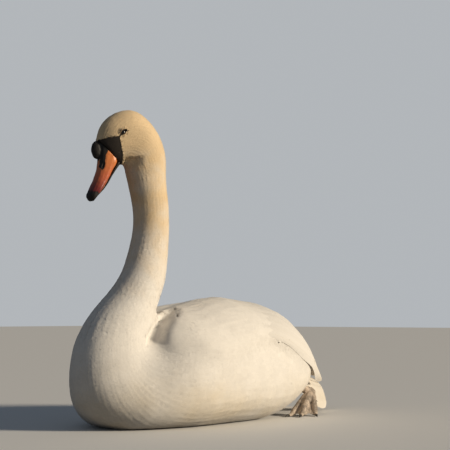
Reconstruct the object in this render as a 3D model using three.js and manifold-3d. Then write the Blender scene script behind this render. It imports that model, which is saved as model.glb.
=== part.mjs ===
// Mute swan resting on its belly, neck upright, head bent down and turned to its right.
// Millimetres. The bird faces -Y, its left side is +X, up is +Z, and the floor is z = 0.
import * as THREE from 'three';
import { mergeVertices } from 'three/addons/utils/BufferGeometryUtils.js';
import Module from 'manifold-3d';

const wasm = await Module();
wasm.setup();

// ---- driving dimensions ----
const GAP = 0.4; // clear space between neighbouring pieces
const SHELL_GAP = 1.2; // the same under the wings
const SLIVER = 0.15; // an edge that a cut leaves shorter than this is closed up
const NEEDLE = 0.05; // a face that a cut leaves narrower than this is parted another way
const NEEDLE_PASSES = 60;
// Rings along each piece and points round each ring.
const TRUNK_RINGS = { count: 24, sides: 28 };
const NECK_RINGS = { lower: 7, middle: 6, upper: 6, underWings: 4, sides: 22 };
const HEAD_RINGS = { count: 17, sides: 22 };
const BILL_RINGS = { upper: 9, nail: 5, lower: 8, upperSides: 16, nailSides: 14, lowerSides: 10 };
const WING_RINGS = { count: 17, arcPoints: 9 };
const TAIL_RINGS = { count: 11, sides: 16 };
const PRIMARIES_RINGS = { count: 10, sides: 12 };
const TOE_RINGS = { count: 8, halluxCount: 6, sides: 8 };
const CLAW_RINGS = { count: 4, sides: 6 };
const BALL_RINGS = { around: 12, upwards: 8 };
const WEB_RINGS = { count: 6, acrossPoints: 4 };
const HEAD_AXIS_Y = -127.5; // upright axis that the head turns about
const HEAD_TURN = 22; // degrees to the bird's right
const EYE_RADIUS = 5.8;
const EYE_PLACE = { forward: 57, side: 25.5, up: 522 };
const KNOB_PLACE = { forward: 95.5, up: 490.5, lean: 5 };
const KNOB_RADII = { side: 10, out: 10.8, along: 17 };

// Each row: belly or throat y, z; back or nape y, z; half width; level of the widest place between
// the two; roundness above it; roundness below it; turn in degrees. From the rump to the forehead.
const BODY = [
  [298, 62, 302, 80, 22, 0.5, 2, 2, 0],
  [284, 53, 290, 104, 56, 0.44, 2.1, 2, 0],
  [258, 41, 268, 130, 87, 0.4, 2.1, 2.15, 0],
  [218, 24, 232, 158, 111, 0.38, 2.15, 2.2, 0],
  [160, 0, 176, 184, 128, 0.36, 2.15, 2.35, 0],
  [90, -12, 100, 202, 140, 0.36, 2.15, 2.4, 0],
  [10, -12, 20, 210, 146, 0.36, 2.2, 2.4, 0],
  [-70, -12, -50, 205, 145, 0.36, 2.2, 2.4, 0],
  [-139, -10, -98, 196, 138, 0.37, 2.2, 2.4, 0],
  [-198, -6, -122, 187, 119, 0.38, 2.2, 2.3, 0],
  [-244, 12, -131, 183, 93, 0.4, 2.1, 2.2, 0],
  [-274, 42, -132, 182, 75, 0.42, 2, 2.1, 0],
  [-287, 76, -130, 187, 66, 0.45, 2, 2, 0],
  [-288, 112, -126, 197, 61, 0.48, 2, 2, 0],
  [-280, 148, -120, 208, 57, 0.5, 2, 2, 0],
  [-262, 180, -111, 221, 52, 0.5, 2, 2, 0],
  [-238, 207, -103, 235, 47.5, 0.5, 2, 2, 0],
  [-210, 231, -95, 251, 44, 0.5, 2, 2, 0],
  [-187, 255, -89, 268, 40.5, 0.5, 2, 2, 0],
  [-170, 281, -85, 288, 37, 0.5, 2, 2, 0],
  [-157, 315, -81.5, 318, 34.3, 0.5, 2, 2, 0],
  [-149, 345, -80, 346, 32.7, 0.5, 2, 2, 2],
  [-148, 372, -80.5, 372, 32, 0.5, 2, 2, 6],
  [-151.5, 398, -83, 396, 32.2, 0.5, 2, 2, 11],
  [-158, 423, -87.5, 421, 32.8, 0.5, 2, 2, 17],
  [-163, 443, -90, 447, 33.5, 0.5, 2, 2, 21],
  [-167, 454, -90, 470, 34.5, 0.52, 2, 2, 22],
  [-170, 459, -93, 495, 35.5, 0.55, 2, 2, 22],
  [-172.5, 462, -105.5, 526, 36, 0.58, 2, 2, 22],
  [-174.5, 463.5, -128, 553, 35, 0.6, 2, 2, 22],
  [-176.5, 464.5, -155, 568, 33.5, 0.6, 2, 2, 22],
  [-178.5, 465, -182, 564, 31, 0.58, 2, 2, 22],
  [-180.5, 465.5, -206, 549, 27.5, 0.55, 2, 2, 22],
  [-182.5, 466, -219.5, 529, 23, 0.5, 2, 2, 22],
  [-184.5, 466.5, -224.5, 508, 18.5, 0.5, 2, 2, 22],
];
// Places along BODY where the pieces meet, and how much of a row is left open there.
const RUMP_END = 0;
const NECK_ROOT = 14.2;
const NECK_THIRD = 18.6;
const NECK_TWO_THIRDS = 22.1;
const HEAD_ROOT = 25.4;
const PARTING = { neckRoot: 0.05, neckThird: 0.03, neckTwoThirds: 0.02, headRoot: 0.04, nailRoot: 0.04 };
const UNDER_WINGS_NECK = 0.8; // where the neck joins the form that the wings are cut by
const FOREHEAD = BODY.length - 1;

// Each row: y; centre x, z; half width; height over the centre; lower edge in degrees; thickness.
const WING = [
  [-166, 76, 148, 8, 10, 100, 12],
  [-160, 70, 146, 22, 24, 104, 20],
  [-146, 57, 137, 48, 50, 106, 26],
  [-124, 43, 126, 78, 76, 106, 30],
  [-92, 31, 117, 106, 91, 96, 32],
  [-40, 22, 113, 122, 103, 84, 32],
  [20, 20, 112, 126, 111, 72, 32],
  [84, 18, 112, 127, 114, 69, 30],
  [144, 16, 110, 120, 111, 76, 28],
  [196, 15, 106, 110, 99, 84, 25],
  [236, 15, 100, 96, 81, 88, 20],
  [268, 16, 92, 80, 59, 93, 15],
  [292, 20, 82, 64, 40, 100, 11],
  [312, 27, 74, 49, 23, 108, 8],
  [327, 37, 64, 32, 9, 112, 5],
];
const WING_INNER_EDGE = 1.5; // clear of the middle of the back
const LEFT_SHOULDER = { y: 6, spread: 58, lift: 11, x: 52, reach: 62 }; // raised shoulder feathers
const WING_LEAST = 0.4; // share of its size that the inner arc keeps at least

// Each row: y; centre z; half width; thickness; how far the side edges hang.
const TAIL = [
  [228, 86, 35, 16, 8],
  [262, 82, 48, 14, 22],
  [298, 77, 59, 11, 44],
  [332, 71, 64, 8, 63],
  [358, 63, 60, 6, 52],
  [372, 55, 49, 4, 31],
];
const TAIL_ARCH = 4; // the power of the side distance by which the arch falls
const TAIL_GAP = 0.7;

// The long flight feathers that lie past the wing, as one stack on each side. The path is the left one's.
const PRIMARIES = {
  path: [[66, 214, 140], [44, 268, 128], [18, 322, 106], [-10, 372, 76]],
  liftLeft: 5,
  liftRight: -4,
  halfWidth: { root: 24, tip: 15 },
  halfDepth: { root: 4, tip: 1.6 },
  roll: 0.25,
};

// Bill, in the head's own profile. Each row: lower edge forward, up; ridge forward, up; half width.
const BILL = [
  [56, 477, 96.5, 513, 17.8],
  [62, 466, 95, 493, 17.2],
  [68, 454.2, 93.8, 473.5, 16],
  [74.4, 441.4, 95.8, 455.5, 15.6],
  [80.4, 430.2, 100.6, 440, 15.8],
  [87, 420, 106, 427.2, 16.4],
  [93.6, 411, 111.2, 416.2, 16.6],
  [99.6, 402.8, 113.8, 406.6, 14.4],
  [103, 398, 110, 399.4, 8],
];
const NAIL_ROOT = 6.1; // place along BILL where the nail begins
const BILL_SECTION = { widest: 0.3, above: 2.1, below: 2.6 };
const LOWER_BILL_SECTION = { widest: 0.75, above: 2.4, below: 2 };
const LOWER_BILL = [
  [53, 464, 58, 471, 15.5],
  [59.6, 455.3, 64.6, 458.8, 15],
  [65.8, 446.2, 70.4, 448.2, 14.5],
  [71.8, 435, 76.2, 436.9, 14.1],
  [78.2, 424.5, 82.2, 426.4, 13.8],
  [85.8, 415.3, 89, 417, 13.5],
  [93.2, 407.8, 95.8, 408.8, 12.4],
  [99, 401.8, 100.7, 402.6, 8.4],
  [101.4, 399.4, 102.4, 399.9, 3.5],
];

// Toe joint, and where each toe ends on the floor, for the left foot: x, y, z.
const TOE_JOINT = [88, 262, 44];
const TOES = [
  { end: [99, 170, -5], root: 8.5, tip: 4.8, arch: 4 },
  { end: [121, 180, -5], root: 9, tip: 5, arch: 6 },
  { end: [135, 213, -5], root: 8.5, tip: 4.8, arch: 5 },
];
const HALLUX = { end: [86, 277, 26], root: 5, tip: 3.4, arch: 2 };
const TOE_REST = 0.8; // a toe's middle stands this share of its radius over the floor
const LEG = { top: [70, 196, 66], ankle: 8.5, thigh: 11 }; // its top is inside the feathers of the flank
const LEG_GAP = 0.6;
const KNUCKLES = { count: 3, swell: 0.1 };
const TOE_FLATNESS = 0.92;
const WEB = { thickness: 2.6, start: 0.06, reach: 0.9, curve: 0.6, sag: 3, floorGap: 0.2 };
const CLAW = { length: 11, sunk: 2, rootShare: 0.66, tip: 1, arch: 1.2, drop: 4, height: 0.6 };

// ---- colours ----
const plumage = { color: 0xf1ece1, roughness: 0.85, metalness: 0 };
const headPlumage = { color: 0xece0c6, roughness: 0.85, metalness: 0 };
const billOrange = { color: 0xd9713f, roughness: 0.45, metalness: 0 };
const billBlack = { color: 0x17130f, roughness: 0.55, metalness: 0 };
const footSkin = { color: 0x3a3632, roughness: 0.6, metalness: 0 };
const eyeDark = { color: 0x120d0a, roughness: 0.1, metalness: 0 };

// ---- shapes ----
const lerp = THREE.MathUtils.lerp;
const radians = THREE.MathUtils.degToRad;
const swan = new THREE.Group();

// A row at place t on a smooth curve through the rows of a table.
function rowAt(table, t) {
  const last = table.length - 1;
  const i = Math.min(Math.floor(t), last - 1);
  const f = t - i;
  const row = (n) => table[Math.min(Math.max(n, 0), last)];
  return table[0].map((_, column) => {
    const [a, b, c, d] = [row(i - 1)[column], row(i)[column], row(i + 1)[column], row(i + 2)[column]];
    const bend = (2 * a - 5 * b + 4 * c - d) * f * f + (3 * b - a - 3 * c + d) * f * f * f;
    return b + ((c - a) * f + bend) / 2;
  });
}

function places(start, end, count) {
  return Array.from({ length: count }, (_, i) => lerp(start, end, i / (count - 1)));
}

// A closed solid through rings of equally many points, with its faces pointing out.
function loft(rings) {
  const sides = rings[0].length;
  const points = rings.flat();
  const faces = [];
  for (let i = 0; i < rings.length - 1; i++) {
    for (let k = 0; k < sides; k++) {
      const next = (k + 1) % sides;
      const [a, b] = [i * sides + k, i * sides + next];
      faces.push([a, b, b + sides], [a, b + sides, a + sides]);
    }
  }
  for (const first of [0, (rings.length - 1) * sides]) {
    const middle = new THREE.Vector3();
    for (let k = 0; k < sides; k++) middle.addScaledVector(points[first + k], 1 / sides);
    points.push(middle);
    for (let k = 0; k < sides; k++) {
      const face = [points.length - 1, first + ((k + 1) % sides), first + k];
      faces.push(first ? face.reverse() : face);
    }
  }
  let volume = 0;
  for (const [a, b, c] of faces) volume += points[a].dot(points[b].clone().cross(points[c]));
  if (volume < 0) faces.forEach((face) => face.reverse());
  const geometry = new THREE.BufferGeometry();
  geometry.setAttribute('position', new THREE.Float32BufferAttribute(points.flatMap((p) => p.toArray()), 3));
  geometry.setIndex(faces.flat());
  return geometry;
}

function turnHead(point, degrees) {
  const axis = new THREE.Vector3(0, HEAD_AXIS_Y, 0);
  return point.sub(axis).applyAxisAngle(new THREE.Vector3(0, 0, 1), -radians(degrees)).add(axis);
}

// A point of the head's profile, given as forward and up, moved sideways to the bird's left.
function headPoint(forward, side, up) {
  return turnHead(new THREE.Vector3(side, HEAD_AXIS_Y - forward, up), HEAD_TURN);
}

// A rounded ring between a low and a high place: cosines go up, sines go to the side.
function ringPoint(angle, widest, roundAbove, roundBelow) {
  const up = Math.cos(angle);
  const side = Math.sin(angle);
  const power = 2 / (up > 0 ? roundAbove : roundBelow);
  const rise = Math.sign(up) * Math.abs(up) ** power * (up > 0 ? 1 - widest : widest);
  return { side: Math.sign(side) * Math.abs(side) ** power, level: widest + rise };
}

// A ring of the body, its surface moved out by a margin.
function bodyRing(t, sides, margin) {
  const [lowY, lowZ, highY, highZ, halfWidth, widest, above, below, turn] = rowAt(BODY, t);
  const reach = margin / Math.hypot(highY - lowY, highZ - lowZ);
  return places(0, 2 * Math.PI, sides + 1).slice(0, sides).map((angle) => {
    const { side, level } = ringPoint(angle, widest, above, below);
    const spread = level + reach * Math.cos(angle);
    const z = Math.max(lerp(lowZ, highZ, spread), 0);
    return turnHead(new THREE.Vector3(side * (halfWidth + margin), lerp(lowY, highY, spread), z), turn);
  });
}

function bodyPiece(start, end, count, sides) {
  return loft(places(start, end, count).map((t) => bodyRing(t, sides, 0)));
}

function billPiece(table, section, start, end, count, sides) {
  return loft(places(start, end, count).map((t) => {
    const [lowForward, lowUp, highForward, highUp, halfWidth] = rowAt(table, t);
    return places(0, 2 * Math.PI, sides + 1).slice(0, sides).map((angle) => {
      const { side, level } = ringPoint(angle, section.widest, section.above, section.below);
      const forward = lerp(lowForward, highForward, level);
      return headPoint(forward, side * halfWidth, lerp(lowUp, highUp, level));
    });
  }));
}

// The left wing sits a little higher at the shoulder than the right.
function shoulderLift(x, y) {
  const sideways = (x - LEFT_SHOULDER.x) / LEFT_SHOULDER.reach;
  const lengthwise = (y - LEFT_SHOULDER.y) / LEFT_SHOULDER.spread;
  return x > 0 ? LEFT_SHOULDER.lift * Math.exp(-(sideways ** 2) - lengthwise ** 2) : 0;
}

// One folded wing: an arc over the flank, closed by the same arc further in.
function wingPiece(side) {
  const rings = places(0, WING.length - 1, WING_RINGS.count).map((t) => {
    const [y, centreX, centreZ, width, height, lowerEdge, thickness] = rowAt(WING, t);
    const start = -Math.asin(Math.min((centreX - WING_INNER_EDGE) / width, 0.99));
    const arc = (cut) => places(start, radians(lowerEdge), WING_RINGS.arcPoints).map((angle) => {
      const x = centreX + Math.sin(angle) * Math.max(width - cut, width * WING_LEAST);
      const z = centreZ + Math.cos(angle) * Math.max(height - cut, height * WING_LEAST);
      return new THREE.Vector3(x * side, y, z + (cut ? 0 : shoulderLift(x * side, y)));
    });
    return [...arc(0), ...arc(thickness).reverse()];
  });
  return loft(rings);
}

function tailPiece() {
  const { count, sides } = TAIL_RINGS;
  return loft(places(0, TAIL.length - 1, count).map((t) => {
    const [y, centreZ, halfWidth, thickness, hang] = rowAt(TAIL, t);
    return places(0, 2 * Math.PI, sides + 1).slice(0, sides).map((angle) => {
      const side = Math.sin(angle);
      const fall = (hang / halfWidth) * TAIL_ARCH * Math.sign(side) * Math.abs(side) ** (TAIL_ARCH - 1);
      const reach = (thickness / 2) * Math.cos(angle) / Math.hypot(fall, 1);
      const z = centreZ - hang * side ** TAIL_ARCH;
      return new THREE.Vector3(halfWidth * side + fall * reach, y, z + reach);
    });
  }));
}

// Stacked tips of the long flight feathers, from under the wing to past the rump.
function primariesPiece(side, lift) {
  const { path, halfWidth, halfDepth, roll } = PRIMARIES;
  const { count, sides } = PRIMARIES_RINGS;
  const line = new THREE.CatmullRomCurve3(path.map(([x, y, z]) => new THREE.Vector3(x * side, y, z + lift)));
  return loft(places(0, 1, count).map((t) => {
    const middle = line.getPoint(t);
    const width = lerp(halfWidth.root, halfWidth.tip, t) * Math.sqrt(Math.max(1 - t ** 8, 0.04));
    const depth = lerp(halfDepth.root, halfDepth.tip, t);
    return places(0, 2 * Math.PI, sides + 1).slice(0, sides).map((angle) => new THREE.Vector3(
      middle.x + width * Math.sin(angle),
      middle.y,
      middle.z - side * roll * width * Math.sin(angle) + depth * Math.cos(angle),
    ));
  }));
}

// A tapering limb between two places, bowed upwards in the middle and flat where it meets the floor.
function limb(start, end, rootRadius, tipRadius, arch, count, sides) {
  const from = new THREE.Vector3(...start);
  const to = new THREE.Vector3(...end);
  const along = to.clone().sub(from).normalize();
  const across = new THREE.Vector3(0, 0, 1).cross(along).normalize();
  const up = along.clone().cross(across);
  return loft(places(0, 1, count).map((t) => {
    const knuckle = 1 + KNUCKLES.swell * Math.cos(t * KNUCKLES.count * 2 * Math.PI);
    const roundTip = Math.sqrt(Math.max(1 - t ** 12, 0.3));
    const radius = lerp(rootRadius, tipRadius, t) * knuckle * roundTip;
    const middle = from.clone().lerp(to, t);
    middle.z = Math.max(middle.z + arch * Math.sin(Math.PI * t), radius * TOE_REST);
    return places(0, 2 * Math.PI, sides + 1).slice(0, sides).map((angle) => {
      const point = middle.clone().addScaledVector(across, radius * Math.sin(angle));
      point.addScaledVector(up, radius * TOE_FLATNESS * Math.cos(angle));
      point.z = Math.max(point.z, 0);
      return point;
    });
  }));
}

// The skin between two toes, a thin sheet whose free edge curves in.
function webPiece(toeA, toeB) {
  const joint = new THREE.Vector3(...TOE_JOINT);
  const ends = [toeA, toeB].map((toe) => new THREE.Vector3(...toe.end));
  const onToe = (toe, end, t) => {
    const point = joint.clone().lerp(end, t);
    point.z += toe.arch * Math.sin(Math.PI * t);
    return point;
  };
  const rings = places(WEB.start, 1, WEB_RINGS.count).map((t) => {
    const edge = places(0, 1, WEB_RINGS.acrossPoints).map((s) => {
      const reach = t * (WEB.reach - WEB.curve * s * (1 - s));
      const point = onToe(toeA, ends[0], reach).lerp(onToe(toeB, ends[1], reach), s);
      const sunk = point.z - WEB.sag * Math.sin(Math.PI * s) * t;
      point.z = Math.max(sunk, WEB.thickness / 2 + WEB.floorGap);
      return point;
    });
    const moved = (dz) => edge.map((p) => new THREE.Vector3(p.x, p.y, p.z + dz));
    return [...moved(WEB.thickness / 2), ...moved(-WEB.thickness / 2).reverse()];
  });
  return loft(rings);
}

function clawPiece(toe) {
  const from = new THREE.Vector3(...TOE_JOINT);
  const to = new THREE.Vector3(...toe.end);
  const along = to.clone().sub(from).setZ(0).normalize();
  const start = to.clone().addScaledVector(along, -CLAW.sunk).setZ(Math.max(to.z, toe.tip * CLAW.height));
  const end = start.clone().addScaledVector(along, CLAW.length + CLAW.sunk);
  end.setZ(Math.max(to.z - CLAW.drop, CLAW.height));
  const radius = toe.tip * CLAW.rootShare;
  const { count, sides } = CLAW_RINGS;
  return limb(start.toArray(), end.toArray(), radius, CLAW.tip, CLAW.arch, count, sides);
}

// ---- joins and cuts ----
function solid(geometry) {
  const bare = new THREE.BufferGeometry();
  bare.setAttribute('position', geometry.attributes.position);
  bare.setIndex(geometry.index);
  const merged = mergeVertices(bare, 1e-4);
  return new wasm.Manifold(new wasm.Mesh({
    numProp: 3,
    vertProperties: new Float32Array(merged.attributes.position.array),
    triVerts: new Uint32Array(merged.index.array),
  }));
}

// The same shape with its surface moved out by a distance.
function grown(shape, distance) {
  const geometry = geometryOf(shape);
  geometry.computeVertexNormals();
  const { position, normal } = geometry.attributes;
  for (let i = 0; i < position.count; i++) {
    const moved = new THREE.Vector3().fromBufferAttribute(position, i);
    moved.addScaledVector(new THREE.Vector3().fromBufferAttribute(normal, i), distance);
    position.setXYZ(i, moved.x, moved.y, moved.z);
  }
  return solid(geometry);
}

function geometryOf(shape) {
  const mesh = shape.getMesh();
  const geometry = new THREE.BufferGeometry();
  geometry.setAttribute('position', new THREE.Float32BufferAttribute(mesh.vertProperties, 3));
  geometry.setIndex([...mesh.triVerts]);
  return geometry;
}

// The shape with each edge shorter than a sliver closed up.
function closedUp(shape) {
  const { vertProperties, triVerts } = shape.getMesh();
  const geometry = new THREE.BufferGeometry();
  geometry.setAttribute('position', new THREE.Float32BufferAttribute(vertProperties, 3));
  const { position } = geometry.attributes;
  const point = (i) => new THREE.Vector3().fromBufferAttribute(position, i);
  const kept = Array.from({ length: position.count }, (_, i) => i);
  const keptFor = (i) => (kept[i] === i ? i : keptFor(kept[i]));
  for (let i = 0; i < triVerts.length; i++) {
    const next = i % 3 === 2 ? i - 2 : i + 1;
    const [a, b] = [keptFor(triVerts[i]), keptFor(triVerts[next])];
    if (point(a).distanceTo(point(b)) < SLIVER) kept[Math.max(a, b)] = Math.min(a, b);
  }
  const faces = [];
  for (let i = 0; i < triVerts.length; i += 3) {
    const face = [...triVerts.slice(i, i + 3)].map(keptFor);
    if (new Set(face).size === 3) faces.push(face);
  }
  turnNeedles(faces, point);
  geometry.setIndex(faces.flat());
  return solid(geometry);
}

// A needle shares its long edge with a neighbour, and the two are parted the other way instead.
function turnNeedles(faces, point) {
  for (let pass = 0; pass < NEEDLE_PASSES; pass++) {
    const faceOf = new Map();
    const key = (a, b) => `${a} ${b}`;
    faces.forEach((face, i) => face.forEach((a, k) => faceOf.set(key(a, face[(k + 1) % 3]), i)));
    for (let i = 0; i < faces.length; i++) {
      const lengths = faces[i].map((a, k) => point(a).distanceTo(point(faces[i][(k + 1) % 3])));
      const k = lengths.indexOf(Math.max(...lengths));
      const [a, b, tip] = [faces[i][k], faces[i][(k + 1) % 3], faces[i][(k + 2) % 3]];
      const area = point(b).sub(point(a)).cross(point(tip).sub(point(a))).length() / 2;
      const j = faceOf.get(key(b, a));
      const far = faces[j].find((v) => v !== a && v !== b);
      if ((2 * area) / lengths[k] > NEEDLE || far === undefined || faceOf.has(key(tip, far))) continue;
      faces[i] = [a, far, tip];
      faces[j] = [far, b, tip];
      break;
    }
  }
}

// A crumb that a cut leaves beside the piece is dropped.
function largest(shape) {
  return closedUp(shape.decompose().sort((a, b) => b.volume() - a.volume())[0]);
}

// The shape without its neighbours, kept clear of them.
function cut(shape, gap, ...neighbours) {
  for (const neighbour of neighbours) shape = shape.subtract(grown(neighbour, gap));
  return largest(shape);
}

function mirrored(geometry) {
  const copy = geometry.clone();
  copy.scale(-1, 1, 1);
  const index = copy.index.array;
  for (let i = 0; i < index.length; i += 3) [index[i], index[i + 1]] = [index[i + 1], index[i]];
  return copy;
}

function add(name, geometry, look) {
  const mesh = new THREE.Mesh(geometry, new THREE.MeshStandardMaterial(look));
  mesh.name = name;
  swan.add(mesh);
}

function ball(place, radii, tilt) {
  const geometry = new THREE.SphereGeometry(1, BALL_RINGS.around, BALL_RINGS.upwards);
  geometry.deleteAttribute('normal');
  geometry.deleteAttribute('uv');
  const whole = mergeVertices(geometry, 1e-4);
  whole.scale(radii.side, radii.out, radii.along);
  whole.rotateX(radians(tilt));
  whole.rotateZ(-radians(HEAD_TURN));
  whole.translate(place.x, place.y, place.z);
  return solid(whole);
}

// ---- the bird ----
const TRUNK_PLACES = places(RUMP_END, NECK_ROOT, TRUNK_RINGS.count);
const trunk = solid(loft(TRUNK_PLACES.map((t) => bodyRing(t, TRUNK_RINGS.sides, 0))));
const neckLength = (start, parting, end, count) => bodyPiece(start + parting, end, count, NECK_RINGS.sides);
const { neckRoot, neckThird, neckTwoThirds } = PARTING;
add('trunk', geometryOf(trunk), plumage);
add('neck_lower', neckLength(NECK_ROOT, neckRoot, NECK_THIRD, NECK_RINGS.lower), plumage);
add('neck_middle', neckLength(NECK_THIRD, neckThird, NECK_TWO_THIRDS, NECK_RINGS.middle), plumage);
add('neck_upper', neckLength(NECK_TWO_THIRDS, neckTwoThirds, HEAD_ROOT, NECK_RINGS.upper), headPlumage);

const head = solid(bodyPiece(HEAD_ROOT + PARTING.headRoot, FOREHEAD, HEAD_RINGS.count, HEAD_RINGS.sides));
const eyeBalls = [1, -1].map((side) => {
  const place = headPoint(EYE_PLACE.forward, EYE_PLACE.side * side, EYE_PLACE.up);
  return ball(place, { side: EYE_RADIUS, out: EYE_RADIUS, along: EYE_RADIUS }, 0);
});
const knobPlace = headPoint(KNOB_PLACE.forward, 0, KNOB_PLACE.up);
const knob = ball(knobPlace, KNOB_RADII, KNOB_PLACE.lean);
const bareHead = cut(head, GAP, knob, ...eyeBalls);
const { upper, nail: nailCount, lower, upperSides, nailSides, lowerSides } = BILL_RINGS;
const nailStart = NAIL_ROOT + PARTING.nailRoot;
const upperBill = solid(billPiece(BILL, BILL_SECTION, 0, NAIL_ROOT, upper, upperSides));
const nail = solid(billPiece(BILL, BILL_SECTION, nailStart, BILL.length - 1, nailCount, nailSides));
const lowerEnd = LOWER_BILL.length - 1;
const lowerBill = solid(billPiece(LOWER_BILL, LOWER_BILL_SECTION, 0, lowerEnd, lower, lowerSides));
const openUpperBill = cut(upperBill, GAP, head, knob);
add('head', geometryOf(bareHead), headPlumage);
add('bill_knob', geometryOf(knob), billBlack);
add('bill_upper', geometryOf(openUpperBill), billOrange);
add('bill_nail', geometryOf(nail), billBlack);
add('bill_lower', geometryOf(cut(lowerBill, GAP, head, upperBill, nail)), billOrange);
add('eye_left', geometryOf(eyeBalls[0]), eyeDark);
add('eye_right', geometryOf(eyeBalls[1]), eyeDark);

const underNeckPlaces = places(NECK_ROOT + UNDER_WINGS_NECK, NECK_THIRD, NECK_RINGS.underWings);
const underPlaces = [...TRUNK_PLACES, ...underNeckPlaces];
const underWings = solid(loft(underPlaces.map((t) => bodyRing(t, TRUNK_RINGS.sides, SHELL_GAP))));
const wings = [1, -1].map((side) => largest(solid(wingPiece(side)).subtract(underWings)));
const primariesLeft = cut(solid(primariesPiece(1, PRIMARIES.liftLeft)), GAP, trunk, ...wings);
const rightStack = solid(primariesPiece(-1, PRIMARIES.liftRight));
const primariesRight = cut(rightStack, GAP, trunk, ...wings, primariesLeft);
const tail = cut(solid(tailPiece()), TAIL_GAP, trunk, ...wings, primariesLeft, primariesRight);
add('wing_left', geometryOf(wings[0]), plumage);
add('wing_right', geometryOf(wings[1]), plumage);
add('primaries_left', geometryOf(primariesLeft), plumage);
add('primaries_right', geometryOf(primariesRight), plumage);
add('tail', geometryOf(tail), plumage);

const toeLimb = ({ end, root, tip, arch }, count) => {
  return solid(limb(TOE_JOINT, end, root, tip, arch, count, TOE_RINGS.sides));
};
const toes = TOES.map((toe) => toeLimb(toe, TOE_RINGS.count));
const webs = [webPiece(TOES[0], TOES[1]), webPiece(TOES[1], TOES[2])].map(solid);
const hallux = toeLimb(HALLUX, TOE_RINGS.halluxCount);
const claws = [...TOES, HALLUX].map((toe) => solid(clawPiece(toe)));
const wholeFoot = [...toes.slice(1), ...webs, hallux].reduce((foot, piece) => foot.add(piece), toes[0]);
const leg = solid(limb(TOE_JOINT, LEG.top, LEG.ankle, LEG.thigh, 0, TOE_RINGS.count, TOE_RINGS.sides));
const shortLeg = cut(leg, LEG_GAP, trunk, wholeFoot, tail, wings[0]);
const foot = cut(wholeFoot, GAP, trunk, tail, ...claws);
for (const [side, copy] of [['left', (g) => g], ['right', mirrored]]) {
  add(`leg_${side}`, copy(geometryOf(shortLeg)), footSkin);
  add(`foot_${side}`, copy(geometryOf(foot)), footSkin);
  claws.forEach((claw, i) => add(`claw_${side}_${i + 1}`, copy(geometryOf(claw)), footSkin));
}

export default swan;
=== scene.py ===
import math
import bpy
import numpy as np
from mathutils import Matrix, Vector, noise
from mathutils.bvhtree import BVHTree


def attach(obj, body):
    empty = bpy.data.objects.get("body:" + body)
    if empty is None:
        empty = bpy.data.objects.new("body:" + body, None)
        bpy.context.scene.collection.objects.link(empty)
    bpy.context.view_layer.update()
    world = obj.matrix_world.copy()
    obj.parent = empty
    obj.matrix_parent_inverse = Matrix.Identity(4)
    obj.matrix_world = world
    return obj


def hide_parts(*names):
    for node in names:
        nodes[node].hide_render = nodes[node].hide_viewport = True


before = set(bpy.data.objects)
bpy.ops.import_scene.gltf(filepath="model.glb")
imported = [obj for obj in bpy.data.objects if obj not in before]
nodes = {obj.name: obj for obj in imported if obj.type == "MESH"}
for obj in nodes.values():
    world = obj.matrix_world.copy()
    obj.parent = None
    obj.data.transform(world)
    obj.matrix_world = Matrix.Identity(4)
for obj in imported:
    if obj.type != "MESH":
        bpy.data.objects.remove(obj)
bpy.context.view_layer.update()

# The bird faces -Y and its left side is +X. The head is turned to its right about an upright axis,
# and a place on it is given as forward, side and up.
headAxisY = -0.1275
headTurn = math.radians(22)
headForward = Vector((-math.sin(headTurn), -math.cos(headTurn), 0))
headLeft = Vector((math.cos(headTurn), -math.sin(headTurn), 0))


def headPoint(forward, side, up):
    return Vector((0, headAxisY, up)) + headForward * forward + headLeft * side


def headPlaces(points):
    flat = points - np.array((0, headAxisY, 0))
    return np.stack([flat @ np.array(headForward), flat @ np.array(headLeft), points[:, 2]], axis=1)


# small helpers
def choose(piece):
    bpy.ops.object.select_all(action="DESELECT")
    piece.select_set(True)
    bpy.context.view_layer.objects.active = piece


def joinedCopy(name, nodeNames):
    bpy.ops.object.select_all(action="DESELECT")
    copies = []
    for nodeName in nodeNames:
        mesh = nodes[nodeName].data.copy()
        mesh.materials.clear()
        mesh.transform(nodes[nodeName].matrix_world)
        piece = bpy.data.objects.new(name, mesh)
        bpy.context.collection.objects.link(piece)
        piece.select_set(True)
        copies.append(piece)
    bpy.context.view_layer.objects.active = copies[0]
    if len(copies) > 1:
        bpy.ops.object.join()
    bpy.ops.object.mode_set(mode="EDIT")
    bpy.ops.mesh.select_all(action="SELECT")
    bpy.ops.mesh.remove_doubles(threshold=0.00002)
    bpy.ops.object.mode_set(mode="OBJECT")
    return copies[0]


def applied(piece, kind, **settings):
    choose(piece)
    modifier = piece.modifiers.new(kind.lower(), kind)
    for setting, value in settings.items():
        setattr(modifier, setting, value)
    bpy.ops.object.modifier_apply(modifier=modifier.name)


# one closed surface over everything that is in the piece, its joints bridged by a slight swelling
def melted(piece, swell, voxel, smooths):
    applied(piece, "DISPLACE", strength=swell, mid_level=0)
    applied(piece, "REMESH", mode="VOXEL", voxel_size=voxel)
    applied(piece, "SMOOTH", factor=0.5, iterations=smooths)


def read(items, name, width=3, kind=float):
    values = np.empty(len(items) * width, kind)
    items.foreach_get(name, values)
    return values.reshape(-1, width) if width > 1 else values


def places(mesh):
    return read(mesh.vertices, "co")


def setPlaces(mesh, points):
    mesh.vertices.foreach_set("co", points.ravel())
    mesh.update()


def normals(mesh):
    return read(mesh.vertices, "normal")


def storeNumbers(mesh, name, values):
    data = mesh.attributes.new(name, "FLOAT", "POINT").data
    data.foreach_set("value", np.ascontiguousarray(values).ravel())


def storeVectors(mesh, name, values):
    data = mesh.attributes.new(name, "FLOAT_VECTOR", "POINT").data
    data.foreach_set("vector", np.ascontiguousarray(values).ravel())


# 0 at the start and beyond it, 1 at the end and beyond it
def fade(value, start, end):
    share = np.clip((value - start) / (end - start), 0, 1)
    return share * share * (3 - 2 * share)


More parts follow.
